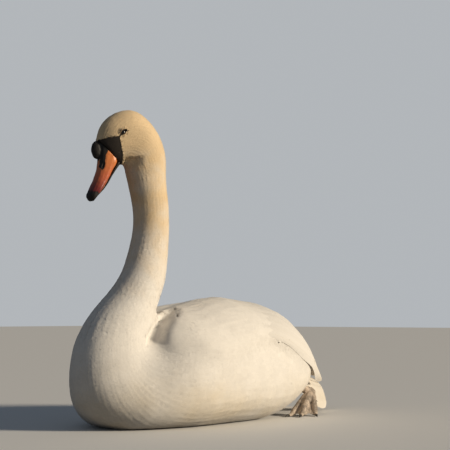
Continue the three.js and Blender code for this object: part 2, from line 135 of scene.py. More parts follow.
def unit(vectors):
    return vectors / np.maximum(np.linalg.norm(vectors, axis=-1, keepdims=True), 1e-9)


def away(a, b):
    return np.linalg.norm(a - np.array(b), axis=-1)


def fromSegment(points, a, b):
    a, b = np.array(a), np.array(b)
    share = np.clip((points - a) @ (b - a) / ((b - a) @ (b - a)), 0, 1)
    return away(points - share[:, None] * (b - a), a)


# the place between the second and the third of four on a smooth curve through them
def between(before, a, b, after, f):
    bend = (2 * before - 5 * a + 4 * b - after) * f * f + (3 * a - before - 3 * b + after) * f ** 3
    return a + ((b - before) * f + bend) / 2


def clumps(points, scale):
    return np.array([noise.noise(Vector(p) * scale) for p in points])


# bumps of several scales, each with its own height
def bumps(points, sizes):
    return sum(clumps(points, scale) * height for scale, height in sizes)


def subdivideWhere(piece, test):
    choose(piece)
    mesh = piece.data
    wanted = test(read(mesh.polygons, "center"))
    for items in (mesh.vertices, mesh.edges):
        items.foreach_set("select", np.zeros(len(items), bool))
    mesh.polygons.foreach_set("select", wanted)
    bpy.ops.object.mode_set(mode="EDIT")
    bpy.ops.mesh.select_mode(type="FACE")
    bpy.ops.mesh.subdivide(number_cuts=1, smoothness=0)
    bpy.ops.object.mode_set(mode="OBJECT")


# material helpers
def newGroup(name, inputs, outputs):
    group = bpy.data.node_groups.new(name, "ShaderNodeTree")
    for direction, sockets in (("INPUT", inputs), ("OUTPUT", outputs)):
        for socketName, kind, value in sockets:
            socket = group.interface.new_socket(socketName, in_out=direction, socket_type="NodeSocket" + kind)
            if value is not None:
                socket.default_value = value
    start = group.nodes.new("NodeGroupInput")
    end = group.nodes.new("NodeGroupOutput")
    return group, start, end


def link(tree, value, socket):
    if isinstance(value, bpy.types.NodeSocket):
        tree.links.new(value, socket)
    elif value is not None:
        isColour = isinstance(value, tuple) and len(value) == 3 and socket.type == "RGBA"
        socket.default_value = (*value, 1) if isColour else value


def maths(tree, operation, first, *others):
    for other in others or (None,):
        node = tree.nodes.new("ShaderNodeMath")
        node.operation = operation
        link(tree, first, node.inputs[0])
        link(tree, other, node.inputs[1])
        first = node.outputs[0]
    return first


# a value swung either way by a noise
def swung(tree, value, grain, amount):
    return maths(tree, "ADD", value, maths(tree, "MULTIPLY", maths(tree, "SUBTRACT", grain, 0.5), amount))


def mixed(tree, share, first, second, blend="MIX"):
    node = tree.nodes.new("ShaderNodeMix")
    node.data_type = "RGBA"
    node.blend_type = blend
    for name, value in ((0, share), (6, first), (7, second)):
        link(tree, value, node.inputs[name])
    return node.outputs[2]


def ranged(tree, value, low, high, newLow=0.0, newHigh=1.0, smooth=True):
    node = tree.nodes.new("ShaderNodeMapRange")
    node.interpolation_type = "SMOOTHSTEP" if smooth else "LINEAR"
    names = ("Value", "From Min", "From Max", "To Min", "To Max")
    for name, entry in zip(names, (value, low, high, newLow, newHigh)):
        link(tree, entry, node.inputs[name])
    return node.outputs["Result"]


def noiseOf(tree, vector, scale, detail=2.0, roughness=0.5):
    node = tree.nodes.new("ShaderNodeTexNoise")
    link(tree, vector, node.inputs["Vector"])
    link(tree, scale, node.inputs["Scale"])
    node.inputs["Detail"].default_value = detail
    node.inputs["Roughness"].default_value = roughness
    return node.outputs["Fac"]


def attribute(tree, name, output="Fac"):
    node = tree.nodes.new("ShaderNodeAttribute")
    node.attribute_name = name
    return node.outputs[output]


def apart(tree, vector):
    node = tree.nodes.new("ShaderNodeSeparateXYZ")
    link(tree, vector, node.inputs[0])
    return node.outputs


def placed(tree, group, **values):
    node = tree.nodes.new("ShaderNodeGroup")
    node.node_tree = group
    for name, value in values.items():
        link(tree, value, node.inputs[name])
    return node.outputs


def bump(tree, height, strength, distance):
    node = tree.nodes.new("ShaderNodeBump")
    node.inputs["Strength"].default_value = strength
    node.inputs["Distance"].default_value = distance
    link(tree, height, node.inputs["Height"])
    return node.outputs[0]


def newMaterial(name, **constants):
    material = bpy.data.materials.new(name)
    material.use_nodes = True
    shader = material.node_tree.nodes["Principled BSDF"]
    for socketName, value in constants.items():
        shader.inputs[socketName.replace("_", " ")].default_value = value
    return material, material.node_tree, shader


def objectPlace(tree):
    return tree.nodes.new("ShaderNodeTexCoord").outputs["Object"]


# camera, floor and light
view = {
    "place": (1.3913, -1.5609, 0.195),
    "towards": (-0.6406, 0.7634, 0.0825),
    "lens": 88,
}
cameraData = bpy.data.cameras.new("camera")
cameraData.lens = view["lens"]
cameraData.sensor_width = 36
camera = bpy.data.objects.new("camera", cameraData)
camera.location = view["place"]
camera.rotation_euler = Vector(view["towards"]).to_track_quat("-Z", "Y").to_euler()
bpy.context.collection.objects.link(camera)
bpy.context.scene.camera = camera

studio = {
    "floorColour": (0.86, 0.85, 0.83),
    "floorBounce": (0.27, 0.27, 0.27),
    "worldColour": (0.66, 0.80, 1.0),
    "worldStrength": 0.12,
    "backdropColour": (0.80, 0.84, 0.88),
    "backdropStrength": 0.56,
    "keyColour": (1.0, 0.87, 0.68),
    "keyPower": 3.35,
    "keyPlace": (2.28, 1.06, 1.05),
    "keyAngle": 11,  # degrees across
    "fillColour": (0.80, 0.88, 1.0),
    "fillPower": 1,
    "fillPlace": (-1.2, -2.2, 1.2),
    "fillSize": 2.4,
    "middle": (0, 0, 0.2),  # where both lights point
}


def addLight(name, kind, key, **settings):
    data = bpy.data.lights.new(name, kind)
    place = Vector(studio[key + "Place"])
    for setting, value in {"energy": studio[key + "Power"], "color": studio[key + "Colour"], **settings}.items():
        setattr(data, setting, value)
    light = bpy.data.objects.new(name, data)
    light.location = place
    light.rotation_euler = (Vector(studio["middle"]) - place).to_track_quat("-Z", "Y").to_euler()
    bpy.context.collection.objects.link(light)


def makeStudio():
    bpy.ops.mesh.primitive_plane_add(size=30, location=(0, 0, 0))
    floor = bpy.context.active_object
    floor.name = "studioFloor"
    # the camera sees one colour, and the light that bounces off takes another
    paint, tree, shader = newMaterial("floorPaint", Roughness=0.9)
    seen = tree.nodes.new("ShaderNodeLightPath").outputs["Is Camera Ray"]
    link(tree, mixed(tree, seen, studio["floorBounce"], studio["floorColour"]), shader.inputs["Base Color"])
    floor.data.materials.append(paint)
    world = bpy.data.worlds.new("studioWorld")
    world.use_nodes = True
    tree = world.node_tree
    sky, backdrop = tree.nodes["Background"], tree.nodes.new("ShaderNodeBackground")
    for light, key in ((sky, "world"), (backdrop, "backdrop")):
        light.inputs["Color"].default_value = (*studio[key + "Colour"], 1)
        light.inputs["Strength"].default_value = studio[key + "Strength"]
    seen = tree.nodes.new("ShaderNodeLightPath").outputs["Is Camera Ray"]
    either = tree.nodes.new("ShaderNodeMixShader")
    for value, socket in zip((seen, sky.outputs[0], backdrop.outputs[0]), either.inputs):
        tree.links.new(value, socket)
    tree.links.new(either.outputs[0], tree.nodes["World Output"].inputs["Surface"])
    bpy.context.scene.world = world
    bpy.context.scene.view_settings.view_transform = "Standard"
    addLight("keyLight", "SUN", "key", angle=math.radians(studio["keyAngle"]))
    addLight("fillLight", "AREA", "fill", size=studio["fillSize"])


bpy.ops.object.select_all(action="DESELECT")
makeStudio()
print("studio ready")


# shared effects
# one side of a straight edge on the head's profile, softly frayed
def makeEdgeSide():
    names = ("Forward", "Up", "First Forward", "First Up", "Second Forward", "Second Up")
    inputs = [(name, "Float", None) for name in names] + [("Softness", "Float", 0.0004)]
    group, start, end = newGroup("edgeSide", inputs, [("Side", "Float", None)])
    s = start.outputs

    def gap(to, since):
        return maths(group, "SUBTRACT", s[to], s[since])

    def product(a, b):
        return maths(group, "MULTIPLY", a, b)

    alongForward, alongUp = gap("Second Forward", "First Forward"), gap("Second Up", "First Up")
    awayForward, awayUp = gap("Forward", "First Forward"), gap("Up", "First Up")
    turned = maths(group, "SUBTRACT", product(alongForward, awayUp), product(alongUp, awayForward))
    squares = maths(group, "ADD", product(alongForward, alongForward), product(alongUp, alongUp))
    share = maths(group, "DIVIDE", turned, maths(group, "SQRT", squares), s["Softness"])
    link(group, ranged(group, share, -1.0, 1.0), end.inputs["Side"])
    return group


# the plumage's own colour at a place: cream body, buff head and neck, stained underneath, and browner at the rear,
# where the brown is partly stain and partly painted shade for the tail feathers' shaded inner sides
plumageColours = {
    "body": (0.90, 0.855, 0.79),
    "buff": (0.86, 0.64, 0.375),
    "stain": (0.76, 0.62, 0.40),
    # the rear's brown: partly stain, partly painted shade for the curled tail feathers' shaded inner sides
    "tail": (0.74, 0.60, 0.38),
    "shaft": (0.80, 0.70, 0.52),
}


def makePlumageTint():
    group, start, end = newGroup(
        "plumageTint", [("Place", "Vector", None), ("Tone", "Float", 0.5)], [("Colour", "Color", None)]
    )
    place = start.outputs["Place"]
    x, y, z = apart(group, place)
    patches = noiseOf(group, place, 28.0, 3.0)
    broad = noiseOf(group, place, 9.0, 2.0)
    height = swung(group, z, patches, 0.10)
    onHead = ranged(group, z, 0.44, 0.50, 0.0, 0.95)
    mottled = maths(group, "MAXIMUM", ranged(group, patches, 0.15, 0.75, 0.45, 1.0), onHead)
    onNeck = maths(group, "MULTIPLY", ranged(group, height, 0.20, 0.42), mottled)
    colour = mixed(group, onNeck, plumageColours["body"], plumageColours["buff"])
    low = maths(group, "MULTIPLY", ranged(group, height, 0.13, 0.0), ranged(group, broad, 0.35, 0.75, 0.10, 0.55))
    colour = mixed(group, low, colour, plumageColours["stain"])
    # browner towards the tail's end in patches: partly stain, partly painted shade for the shade inside the curled tail
    # feathers
    rear = maths(group, "MULTIPLY", ranged(group, y, 0.27, 0.36), ranged(group, patches, 0.3, 0.8, 0.05, 0.45))
    colour = mixed(group, rear, colour, plumageColours["tail"])
    brightness = ranged(group, start.outputs["Tone"], 0.0, 1.0, 0.93, 1.03, smooth=False)
    link(group, mixed(group, 1.0, colour, brightness, "MULTIPLY"), end.inputs["Colour"])
    return group


# fine slanting barbs either side of a shaft
def makeBarbs():
    group, start, end = newGroup(
        "barbs",
        [("Along", "Float", None), ("Across", "Float", None), ("Barbs", "Float", 40.0),
         ("Slant", "Float", 0.35), ("Shaft", "Float", 0.06)],
        [("Height", "Float", None), ("Shaft", "Float", None)],
    )
    s = start.outputs
    across = maths(group, "ABSOLUTE", s["Across"])
    place = maths(group, "SUBTRACT", s["Along"], maths(group, "MULTIPLY", across, s["Slant"]))
    wave = maths(group, "SINE", maths(group, "MULTIPLY", s["Barbs"], 2 * math.pi, place))
    shaft = ranged(group, across, s["Shaft"], 0.0)
    height = maths(group, "ADD", maths(group, "MULTIPLY", wave, 0.2), maths(group, "MULTIPLY", shaft, 1.5))
    link(group, height, end.inputs["Height"])
    link(group, shaft, end.inputs["Shaft"])
    return group


edgeSide = makeEdgeSide()
plumageTint = makePlumageTint()
barbs = makeBarbs()


def featherMaterial(name, barbCount, shaftWidth, bumpStrength):
    material, tree, shader = newMaterial(
        name, Roughness=0.78, Sheen_Weight=0.12, Sheen_Roughness=0.5, Specular_IOR_Level=0.25
    )
    along = attribute(tree, "along")
    lines = placed(tree, barbs, Along=along, Across=attribute(tree, "across"), Barbs=barbCount, Shaft=shaftWidth)
    tint = placed(tree, plumageTint, Place=objectPlace(tree), Tone=attribute(tree, "tone"))["Colour"]
    rootShade = ranged(tree, along, 0.0, 0.55, 0.90, 1.0)
    colour = mixed(tree, 1.0, tint, rootShade, "MULTIPLY")
    shaftShare = maths(tree, "MULTIPLY", lines["Shaft"], 0.25)
    link(tree, mixed(tree, shaftShare, colour, plumageColours["shaft"]), shader.inputs["Base Color"])
    link(tree, bump(tree, lines["Height"], bumpStrength, 0.0004), shader.inputs["Normal"])
    return material


softFeather = featherMaterial("softFeather", 14.0, 0.05, 0.22)
flightFeather = featherMaterial("flightFeather", 90.0, 0.06, 0.35)


# the lie of the feathers
# the middle of the body, from the forehead back over the head, down the neck and along the trunk
spine = [
    headPoint(0.077, 0, 0.487), headPoint(0.053, 0, 0.514), headPoint(0.024, 0, 0.508), headPoint(0.004, 0, 0.477),
    Vector((0, -0.123, 0.422)), Vector((0, -0.114, 0.372)), Vector((0, -0.119, 0.316)), Vector((0, -0.138, 0.261)),
    Vector((0, -0.170, 0.221)), Vector((0, -0.200, 0.178)), Vector((0, -0.208, 0.131)), Vector((0, -0.187, 0.097)),
    Vector((0, -0.118, 0.093)), Vector((0, 0.015, 0.099)), Vector((0, 0.168, 0.090)), Vector((0, 0.263, 0.083)),
    Vector((0, 0.340, 0.060)),
]


def throughSpine(steps=10):
    last = len(spine) - 1
    points = []
    for i in range(last):
        four = [spine[max(0, min(last, i + k))] for k in (-1, 0, 1, 2)]
        points += [between(*four, k / steps) for k in range(steps)]
    return np.array([*points, spine[-1]])


spinePoints = throughSpine()
spineTangents = unit(np.gradient(spinePoints, axis=0))
spineLengths = np.concatenate([[0], np.cumsum(away(spinePoints[1:], spinePoints[:-1]))])


# for each point: how far along the body it is, which way the coat lies there, and its angle round the middle
def lieAt(points, blur=0.022):
    distances, flows, angles = [], [], []
    for start in range(0, len(points), 20000):
        part = points[start:start + 20000]
        gaps = ((part[:, None, :] - spinePoints[None]) ** 2).sum(-1)
        weights = np.exp(-(gaps - gaps.min(1, keepdims=True)) / (2 * blur * blur))
        weights /= weights.sum(1, keepdims=True)
        flow = unit(weights @ spineTangents)
        out = part - weights @ spinePoints
        upwards = np.cross(flow, np.array((1.0, 0, 0)))
        distances.append(weights @ spineLengths)
        flows.append(flow)
        angles.append(np.arctan2(out[:, 0], (out * upwards).sum(1)))
    return np.concatenate(distances), np.concatenate(flows), np.concatenate(angles)


# skin
coatLengths = [0.0, 0.04, 0.09, 0.20, 0.34, 0.46, 0.62, 0.85, 1.05]  # places along the body
skin = {
    "swell": 0.0009,
    "voxel": 0.0036,
    "smooths": 5,
    "headSmooths": 2,
    "finerHead": (0.452, -0.045),  # above and ahead of these the mesh is finer
    "finerFace": (0.462, 0.028),
    "finerEye": 0.0115,
    "depths": [0.0010, 0.0013, 0.0016, 0.0019, 0.0022, 0.0026, 0.0028, 0.0028, 0.0026],
    "wingDepth": 0.0028,
    "eyeRadius": 0.0058,
    "lidThickness": 0.0006,
}
fleshNodes = ["trunk", "neck_lower", "neck_middle", "neck_upper", "head", "wing_left", "wing_right"]
eyePlace = (0.057, 0.0255, 0.522)
eyeMiddles = [headPoint(eyePlace[0], side * eyePlace[1], eyePlace[2]) for side in (1, -1)]


# which CAD node each point is nearest to
def labelOf(points, names):
    corners, faces, labels = [], [], []
    for i, name in enumerate(names):
        mesh = nodes[name].data
        faces += [[v + len(corners) for v in face.vertices] for face in mesh.polygons]
        labels += [i] * len(mesh.polygons)
        corners += [nodes[name].matrix_world @ v.co for v in mesh.vertices]
    tree = BVHTree.FromPolygons(corners, faces)
    return np.array([labels[tree.find_nearest(Vector(p))[2]] for p in points])


# Where points lie round the nearer eye: reach from its middle, angle from its axis, and the angle at which
# the lids open there. The opening is an almond, pointing down to the bill.
lids = {
    "long": 57,
    "short": 27,
    "slant": (0.68, -0.73),
    "rim": (12, 6),  # degrees past the opening where the bare rim ends
    "rimReach": 0.0095,
    "reach": 0.0125,
    "blend": (0.0122, 0.0078),
    "edge": (-4, 3),
    "swell": 0.9,
    "swells": (26, 4),
    "inside": 0.0016,
    "back": 105,
}


def roundEye(points):
    forward, side, up = headPlaces(points).T
    out = np.stack([forward, np.abs(side), up], axis=1) - np.array(eyePlace)
    reach = np.maximum(np.linalg.norm(out, axis=1), 1e-6)
    angle = np.degrees(np.arccos(np.clip(out[:, 1] / reach, -1, 1)))
    lengthwise = unit(out[:, [0, 2]]) @ unit(np.array(lids["slant"]))
    crosswise = np.sqrt(np.clip(1 - lengthwise ** 2, 0, 1))
    opening = lids["long"] * lids["short"] / np.hypot(lids["short"] * lengthwise, lids["long"] * crosswise)
    return reach, angle, opening


# bare black skin between the bill and the eye, and in a narrow rim round the eye
mask = {
    "topFrom": (0.095, 0.5085),  # forward and up: the line from the knob's top to the eye
    "topSlope": 0.20,
    "topWave": 0.0010,
    "rearFrom": (0.474, 0.0520),  # up and forward: the line from the eye down to the gape
    "rearSlope": 0.31,
    "lowest": 0.466,
    "softness": (-0.0006, 0.0006),
    "ragged": [(420, 0.0009), (1100, 0.0005)],  # how fine and how large its bumps are
    "waves": 90,
    "topRagged": 2.2,  # how much rougher the top line is than the rear one
    "line": ((0.0655, 0.5125), (0.0600, 0.5185)),  # joins the eye's front corner to the bare skin
    "lineHalf": (0.0019, 0.0009),
    "lineSide": 0.01,
    "black": (0.012, 0.009, 0.007),
    "worn": (0.055, 0.042, 0.033),
}


def bareAmount(points):
    forward, side, up = headPlaces(points).T
    uneven = bumps(points, mask["ragged"])
    behind = mask["topFrom"][0] - forward
    topLine = mask["topFrom"][1] + behind * mask["topSlope"] + mask["topWave"] * np.sin(behind * mask["waves"])
    below = fade(topLine - up + uneven * mask["topRagged"], *mask["softness"])
    rearLine = mask["rearFrom"][1] + (up - mask["rearFrom"][0]) * mask["rearSlope"]
    ahead = fade(forward - rearLine + uneven, *mask["softness"])
    lores = below * ahead * (up > mask["lowest"])
    reach, angle, opening = roundEye(points)
    rim = fade(angle - opening, *lids["rim"]) * (reach < lids["rimReach"])
    off = fromSegment(np.stack([forward, up], axis=1), *mask["line"])
    line = fade(off, *mask["lineHalf"]) * (np.abs(side) > mask["lineSide"])
    return np.maximum(np.maximum(lores, rim), line)


def shapeLids(points):
    reach, angle, opening = roundEye(points)
    middles = np.array([eyeMiddles[0] if side > 0 else eyeMiddles[1] for side in headPlaces(points)[:, 1]])
    direction = (points - middles) / reach[:, None]
    past = angle - opening
    onLid = fade(past, *lids["edge"])
    lidReach = skin["eyeRadius"] + skin["lidThickness"] * (1 + lids["swell"] * fade(past, *lids["swells"]))
    inside = skin["eyeRadius"] - lids["inside"]
    lower = np.minimum(reach, inside + (lidReach - inside) * onLid)
    raised = np.where(past < 0, lower, np.maximum(reach, lidReach * (angle < lids["back"])))
    blend = np.where(past < lids["edge"][1], 1.0, fade(reach, *lids["blend"]))
    moved = middles + direction * (reach + (raised - reach) * blend)[:, None]
    return np.where((reach < lids["reach"])[:, None], moved, points)


# the folded wing's outer face: round a middle, down to an edge given in degrees from upright
wing = {
    "along": [-0.166, -0.146, -0.124, -0.092, -0.040, 0.020, 0.084, 0.144, 0.196, 0.236, 0.268, 0.292, 0.312, 0.327],
    "middleSide": [0.076, 0.057, 0.043, 0.031, 0.022, 0.020, 0.018, 0.016, 0.015, 0.015, 0.016, 0.020, 0.027, 0.037],
    "middleUp": [0.148, 0.137, 0.126, 0.117, 0.113, 0.112, 0.112, 0.110, 0.106, 0.100, 0.092, 0.082, 0.074, 0.064],
    "halfWide": [0.008, 0.048, 0.078, 0.106, 0.122, 0.126, 0.127, 0.120, 0.110, 0.096, 0.080, 0.064, 0.049, 0.032],
    "halfHigh": [0.010, 0.050, 0.076, 0.091, 0.103, 0.111, 0.114, 0.111, 0.099, 0.081, 0.059, 0.040, 0.023, 0.009],
    "edge": [100, 106, 106, 96, 84, 72, 69, 76, 84, 88, 93, 100, 108, 112],
}


def wingSizes(y):
    return [np.interp(y, wing["along"], wing[key]) for key in ("middleSide", "middleUp", "halfWide", "halfHigh")]


def edgeAngle(y):
    return np.interp(y, wing["along"], wing["edge"])


# places on the folded wing's outer face at angles from upright, and the ways out of it
def onWing(y, degrees, side):
    middleSide, middleUp, halfWide, halfHigh = wingSizes(y)
    across, upward = np.sin(np.radians(degrees)), np.cos(np.radians(degrees))
    place = np.stack([side * (middleSide + halfWide * across), y, middleUp + halfHigh * upward], axis=-1)
    return place, unit(np.stack([side * across / halfWide, np.zeros_like(y), upward / halfHigh], axis=-1))


def angleOnWing(points):
    x, y, up = np.moveaxis(points, -1, 0)
    middleSide, middleUp, halfWide, halfHigh = wingSizes(y)
    return np.degrees(np.arctan2((np.abs(x) - middleSide) / halfWide, (up - middleUp) / halfHigh))


# places moved onto the folded wing's outer face and lifted off it
def onWingFace(points, lift):
    place, way = onWing(points[..., 1], angleOnWing(points), np.where(points[..., 0] > 0, 1, -1))
    return place + way * lift[..., None]


# how many degrees each point lies above the wing's lower edge
def aboveEdge(points):
    return edgeAngle(points[:, 1]) - angleOnWing(points)


# under the cheek the throat steps in
jaw = {
    "line": (0.060, 0.4765, 0.18),  # forward, up and slope
    "step": (0.0, 0.0030),
    "fadesOut": (0.034, 0.006),
    "rear": (0.014, 0.034),
    "front": (0.053, 0.046),
    "deep": 0.0050,
}


def jawCut(points):
    forward, up = headPlaces(points)[:, [0, 2]].T
    lineForward, lineUp, slope = jaw["line"]
    below = lineUp + (lineForward - forward) * slope - up
    amount = fade(below, *jaw["step"]) * fade(below, *jaw["fadesOut"])
    return jaw["deep"] * amount * fade(forward, *jaw["rear"]) * fade(forward, *jaw["front"])


# the hollow behind the base of the neck, with the neck's own edge standing over it
hollow = {
    "up": [0.140, 0.144, 0.162, 0.173, 0.185, 0.197, 0.206],
    "edge": [-0.079, -0.0772, -0.0755, -0.0705, -0.065, -0.059, -0.052],  # along the way the edge is crossed
    "across": (0.766, 0.643),
    "deep": 0.012,
    "falls": (-0.001, 0.006),
    "rises": (0.048, 0.010),
    "bottom": (0.136, 0.160),
    "top": (0.222, 0.194),
    "aside": (0.018, 0.034),
    "ahead": (-0.075, -0.100),
}


def overEdge(points):
    x, y, up = points.T
    crossing = np.abs(x) * hollow["across"][0] + y * hollow["across"][1]
    return crossing - np.interp(up, hollow["up"], hollow["edge"])


def shoulderCut(points):
    x, y, up = points.T
    over = overEdge(points)
    amount = fade(over, *hollow["falls"]) * fade(over, *hollow["rises"])
    amount *= fade(up, *hollow["bottom"]) * fade(up, *hollow["top"])
    return hollow["deep"] * amount * fade(np.abs(x), *hollow["aside"]) * fade(y, *hollow["ahead"])


# the wing's leading and lower edges sink into the feathers of the breast and flank
shoulders = {
    "front": (-0.095, -0.135),
    "frontSide": (0.038, 0.058),
    "frontUp": (0.195, 0.175),
    "frontEnd": (-0.215, -0.185),
    "above": (15, 7),  # degrees from the wing's edge
    "below": (-34, -16),
    "edgeSide": 0.03,
    "edgeStart": (-0.15, -0.12),
    "edgeEnd": (0.255, 0.215),
    "fold": (0.056, -0.118, 0.198),  # where the neck meets the front of the wing
    "foldReach": (0.034, 0.014),
    "foldShare": 0.5,
    "smooths": 140,
}


def softenShoulders(body):
    points = places(body.data)
    x, y, up = np.abs(points[:, 0]), points[:, 1], points[:, 2]
    front = fade(y, *shoulders["front"]) * fade(x, *shoulders["frontSide"])
    front *= fade(up, *shoulders["frontUp"]) * fade(y, *shoulders["frontEnd"])
    above = aboveEdge(points)
    lower = fade(above, *shoulders["above"]) * fade(above, *shoulders["below"]) * (x > shoulders["edgeSide"])
    lower *= fade(y, *shoulders["edgeStart"]) * fade(y, *shoulders["edgeEnd"])
    fold = away(np.stack([x, y, up], axis=1), shoulders["fold"])
    front = np.maximum(front, fade(fold, *shoulders["foldReach"]) * shoulders["foldShare"])
    group = body.vertex_groups.new(name="shoulders")
    for i, amount in enumerate(np.maximum(front, lower)):
        if amount > 0:
            group.add([i], amount, "REPLACE")
    applied(body, "SMOOTH", factor=0.5, iterations=shoulders["smooths"], vertex_group="shoulders")
    body.vertex_groups.clear()


def makeSkin():
    body = joinedCopy("skin", fleshNodes)
    melted(body, skin["swell"], skin["voxel"], skin["smooths"])
    softenShoulders(body)

    def finerFrom(limits):
        subdivideWhere(body, lambda p: (p[:, 2] > limits[0]) & (headPlaces(p)[:, 0] > limits[1]))

    finerFrom(skin["finerHead"])
    applied(body, "SMOOTH", factor=0.5, iterations=skin["headSmooths"])
    finerFrom(skin["finerFace"])
    subdivideWhere(body, lambda p: roundEye(p)[0] < skin["finerEye"])
    points = places(body.data)
    outward = normals(body.data)
    inWing = labelOf(points, fleshNodes) >= fleshNodes.index("wing_left")
    depth = np.where(inWing, skin["wingDepth"], np.interp(lieAt(points)[0], coatLengths, skin["depths"]))
    depth *= 1 - bareAmount(points)
    points -= outward * (depth + skin["swell"])[:, None]
    points -= outward * (jawCut(points) + shoulderCut(points))[:, None]
    setPlaces(body.data, shapeLids(points))
    return body


feetFacts = {
    "swell": 0.0004,
    "voxel": 0.0013,
    "smooths": 3,
    "wrinkles": [(260, 0.0006)],
    "scales": 420,
    "dark": (0.27, 0.225, 0.18),
    "pale": (0.76, 0.62, 0.49),
    "gaps": (0.02, 0.018, 0.016),
}


def makeFeet():
    feet = joinedCopy("feet", [f"{kind}_{side}" for kind in ("leg", "foot") for side in ("left", "right")])
    melted(feet, feetFacts["swell"], feetFacts["voxel"], feetFacts["smooths"])
    points = places(feet.data)
    points += normals(feet.data) * (bumps(points, feetFacts["wrinkles"]) - feetFacts["swell"])[:, None]
    points[:, 2] = np.maximum(points[:, 2], 0.0)
    setPlaces(feet.data, points)
    return feet


def finishSmooth(piece, material, replaced):
    piece.data.materials.clear()
    piece.data.materials.append(material)
    choose(piece)
    bpy.ops.object.shade_smooth()
    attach(piece, "root")
    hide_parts(*replaced)


def makeBareSkinMaterial():
    material, tree, shader = newMaterial("bareSkin", Specular_IOR_Level=0.35)
    place = objectPlace(tree)
    under = placed(tree, plumageTint, Place=place)["Colour"]
    pores = noiseOf(tree, place, 900.0, 3.0, 0.6)
    black = mixed(tree, pores, mask["black"], mask["worn"])
    head = mixed(tree, ranged(tree, attribute(tree, "bare"), 0.35, 0.65), under, black)
    scales = tree.nodes.new("ShaderNodeTexVoronoi")
    scales.feature = "DISTANCE_TO_EDGE"
    scales.inputs["Scale"].default_value = feetFacts["scales"]
    link(tree, place, scales.inputs["Vector"])
    gaps = ranged(tree, scales.outputs["Distance"], 0.0, 0.12)
    blotches = noiseOf(tree, place, 60.0, 4.0, 0.6)
    foot = mixed(tree, ranged(tree, blotches, 0.3, 0.7), feetFacts["dark"], feetFacts["pale"])
    foot = mixed(tree, ranged(tree, gaps, 0.0, 1.0, 0.35, 0.0), foot, feetFacts["gaps"])
    onFoot = attribute(tree, "onFoot")
    link(tree, mixed(tree, onFoot, head, foot), shader.inputs["Base Color"])
    link(tree, ranged(tree, pores, 0.2, 0.8, 0.55, 0.75), shader.inputs["Roughness"])
    fine = maths(tree, "ADD", pores, maths(tree, "MULTIPLY", gaps, onFoot, 1.2))
    link(tree, bump(tree, fine, 0.5, 0.0004), shader.inputs["Normal"])
    return material


def finishSkin(body, feet):
    choose(body)
    feet.select_set(True)
    bodyCount = len(body.data.vertices)
    bpy.ops.object.join()
    points = places(body.data)
    onFoot = (np.arange(len(points)) >= bodyCount) * 1.0
    storeNumbers(body.data, "onFoot", onFoot)
    storeNumbers(body.data, "bare", bareAmount(points) * (1 - onFoot))
    replaced = [*fleshNodes, "leg_left", "leg_right", "foot_left", "foot_right"]
    finishSmooth(body, makeBareSkinMaterial(), replaced)


skinPiece = makeSkin()
skinPoints = places(skinPiece.data)
skinTree = BVHTree.FromPolygons(
    [Vector(p) for p in skinPoints], [list(face.vertices) for face in skinPiece.data.polygons]
)
print("skin made:", len(skinPiece.data.polygons), "faces")


# feathers
# Draws each feather's line over the skin: a root, then steps along the lie of the coat.
def drapedLines(roots, directions, lengths, steps):
    lines = np.empty((len(roots), steps + 1, 3))
    outward = np.empty_like(lines)
    for i, (root, direction, length) in enumerate(zip(roots, directions, lengths)):
        place, normal, _, _ = skinTree.find_nearest(Vector(root))
        heading = Vector(direction)
        lines[i, 0], outward[i, 0] = place, normal
        for k in range(steps):
            heading = (heading - normal * heading.dot(normal)).normalized()
            target = place + heading * (length / steps)
            newPlace, newNormal, _, _ = skinTree.find_nearest(target)
            # over a sharp edge it goes straight on
            isSharp = newNormal.dot(normal) < 0.3
            place, normal = (target, normal) if isSharp else (newPlace, newNormal)
            lines[i, k + 1], outward[i, k + 1] = place, normal
    return lines, unit(outward)


lowest = 0.0002  # no vane goes nearer the floor
patchSize = 0.003
laying = {
    "probe": 0.004,  # the skin is looked for from this far above a place
    "leastFacing": 0.4,
    "coatReach": 0.004,
    "tertialReach": 0.016,
    "foldReach": 1.6,  # in lengths of the feather
    "foldTilt": (0.92, 0.39),
    "foldLeast": 0.4,
}


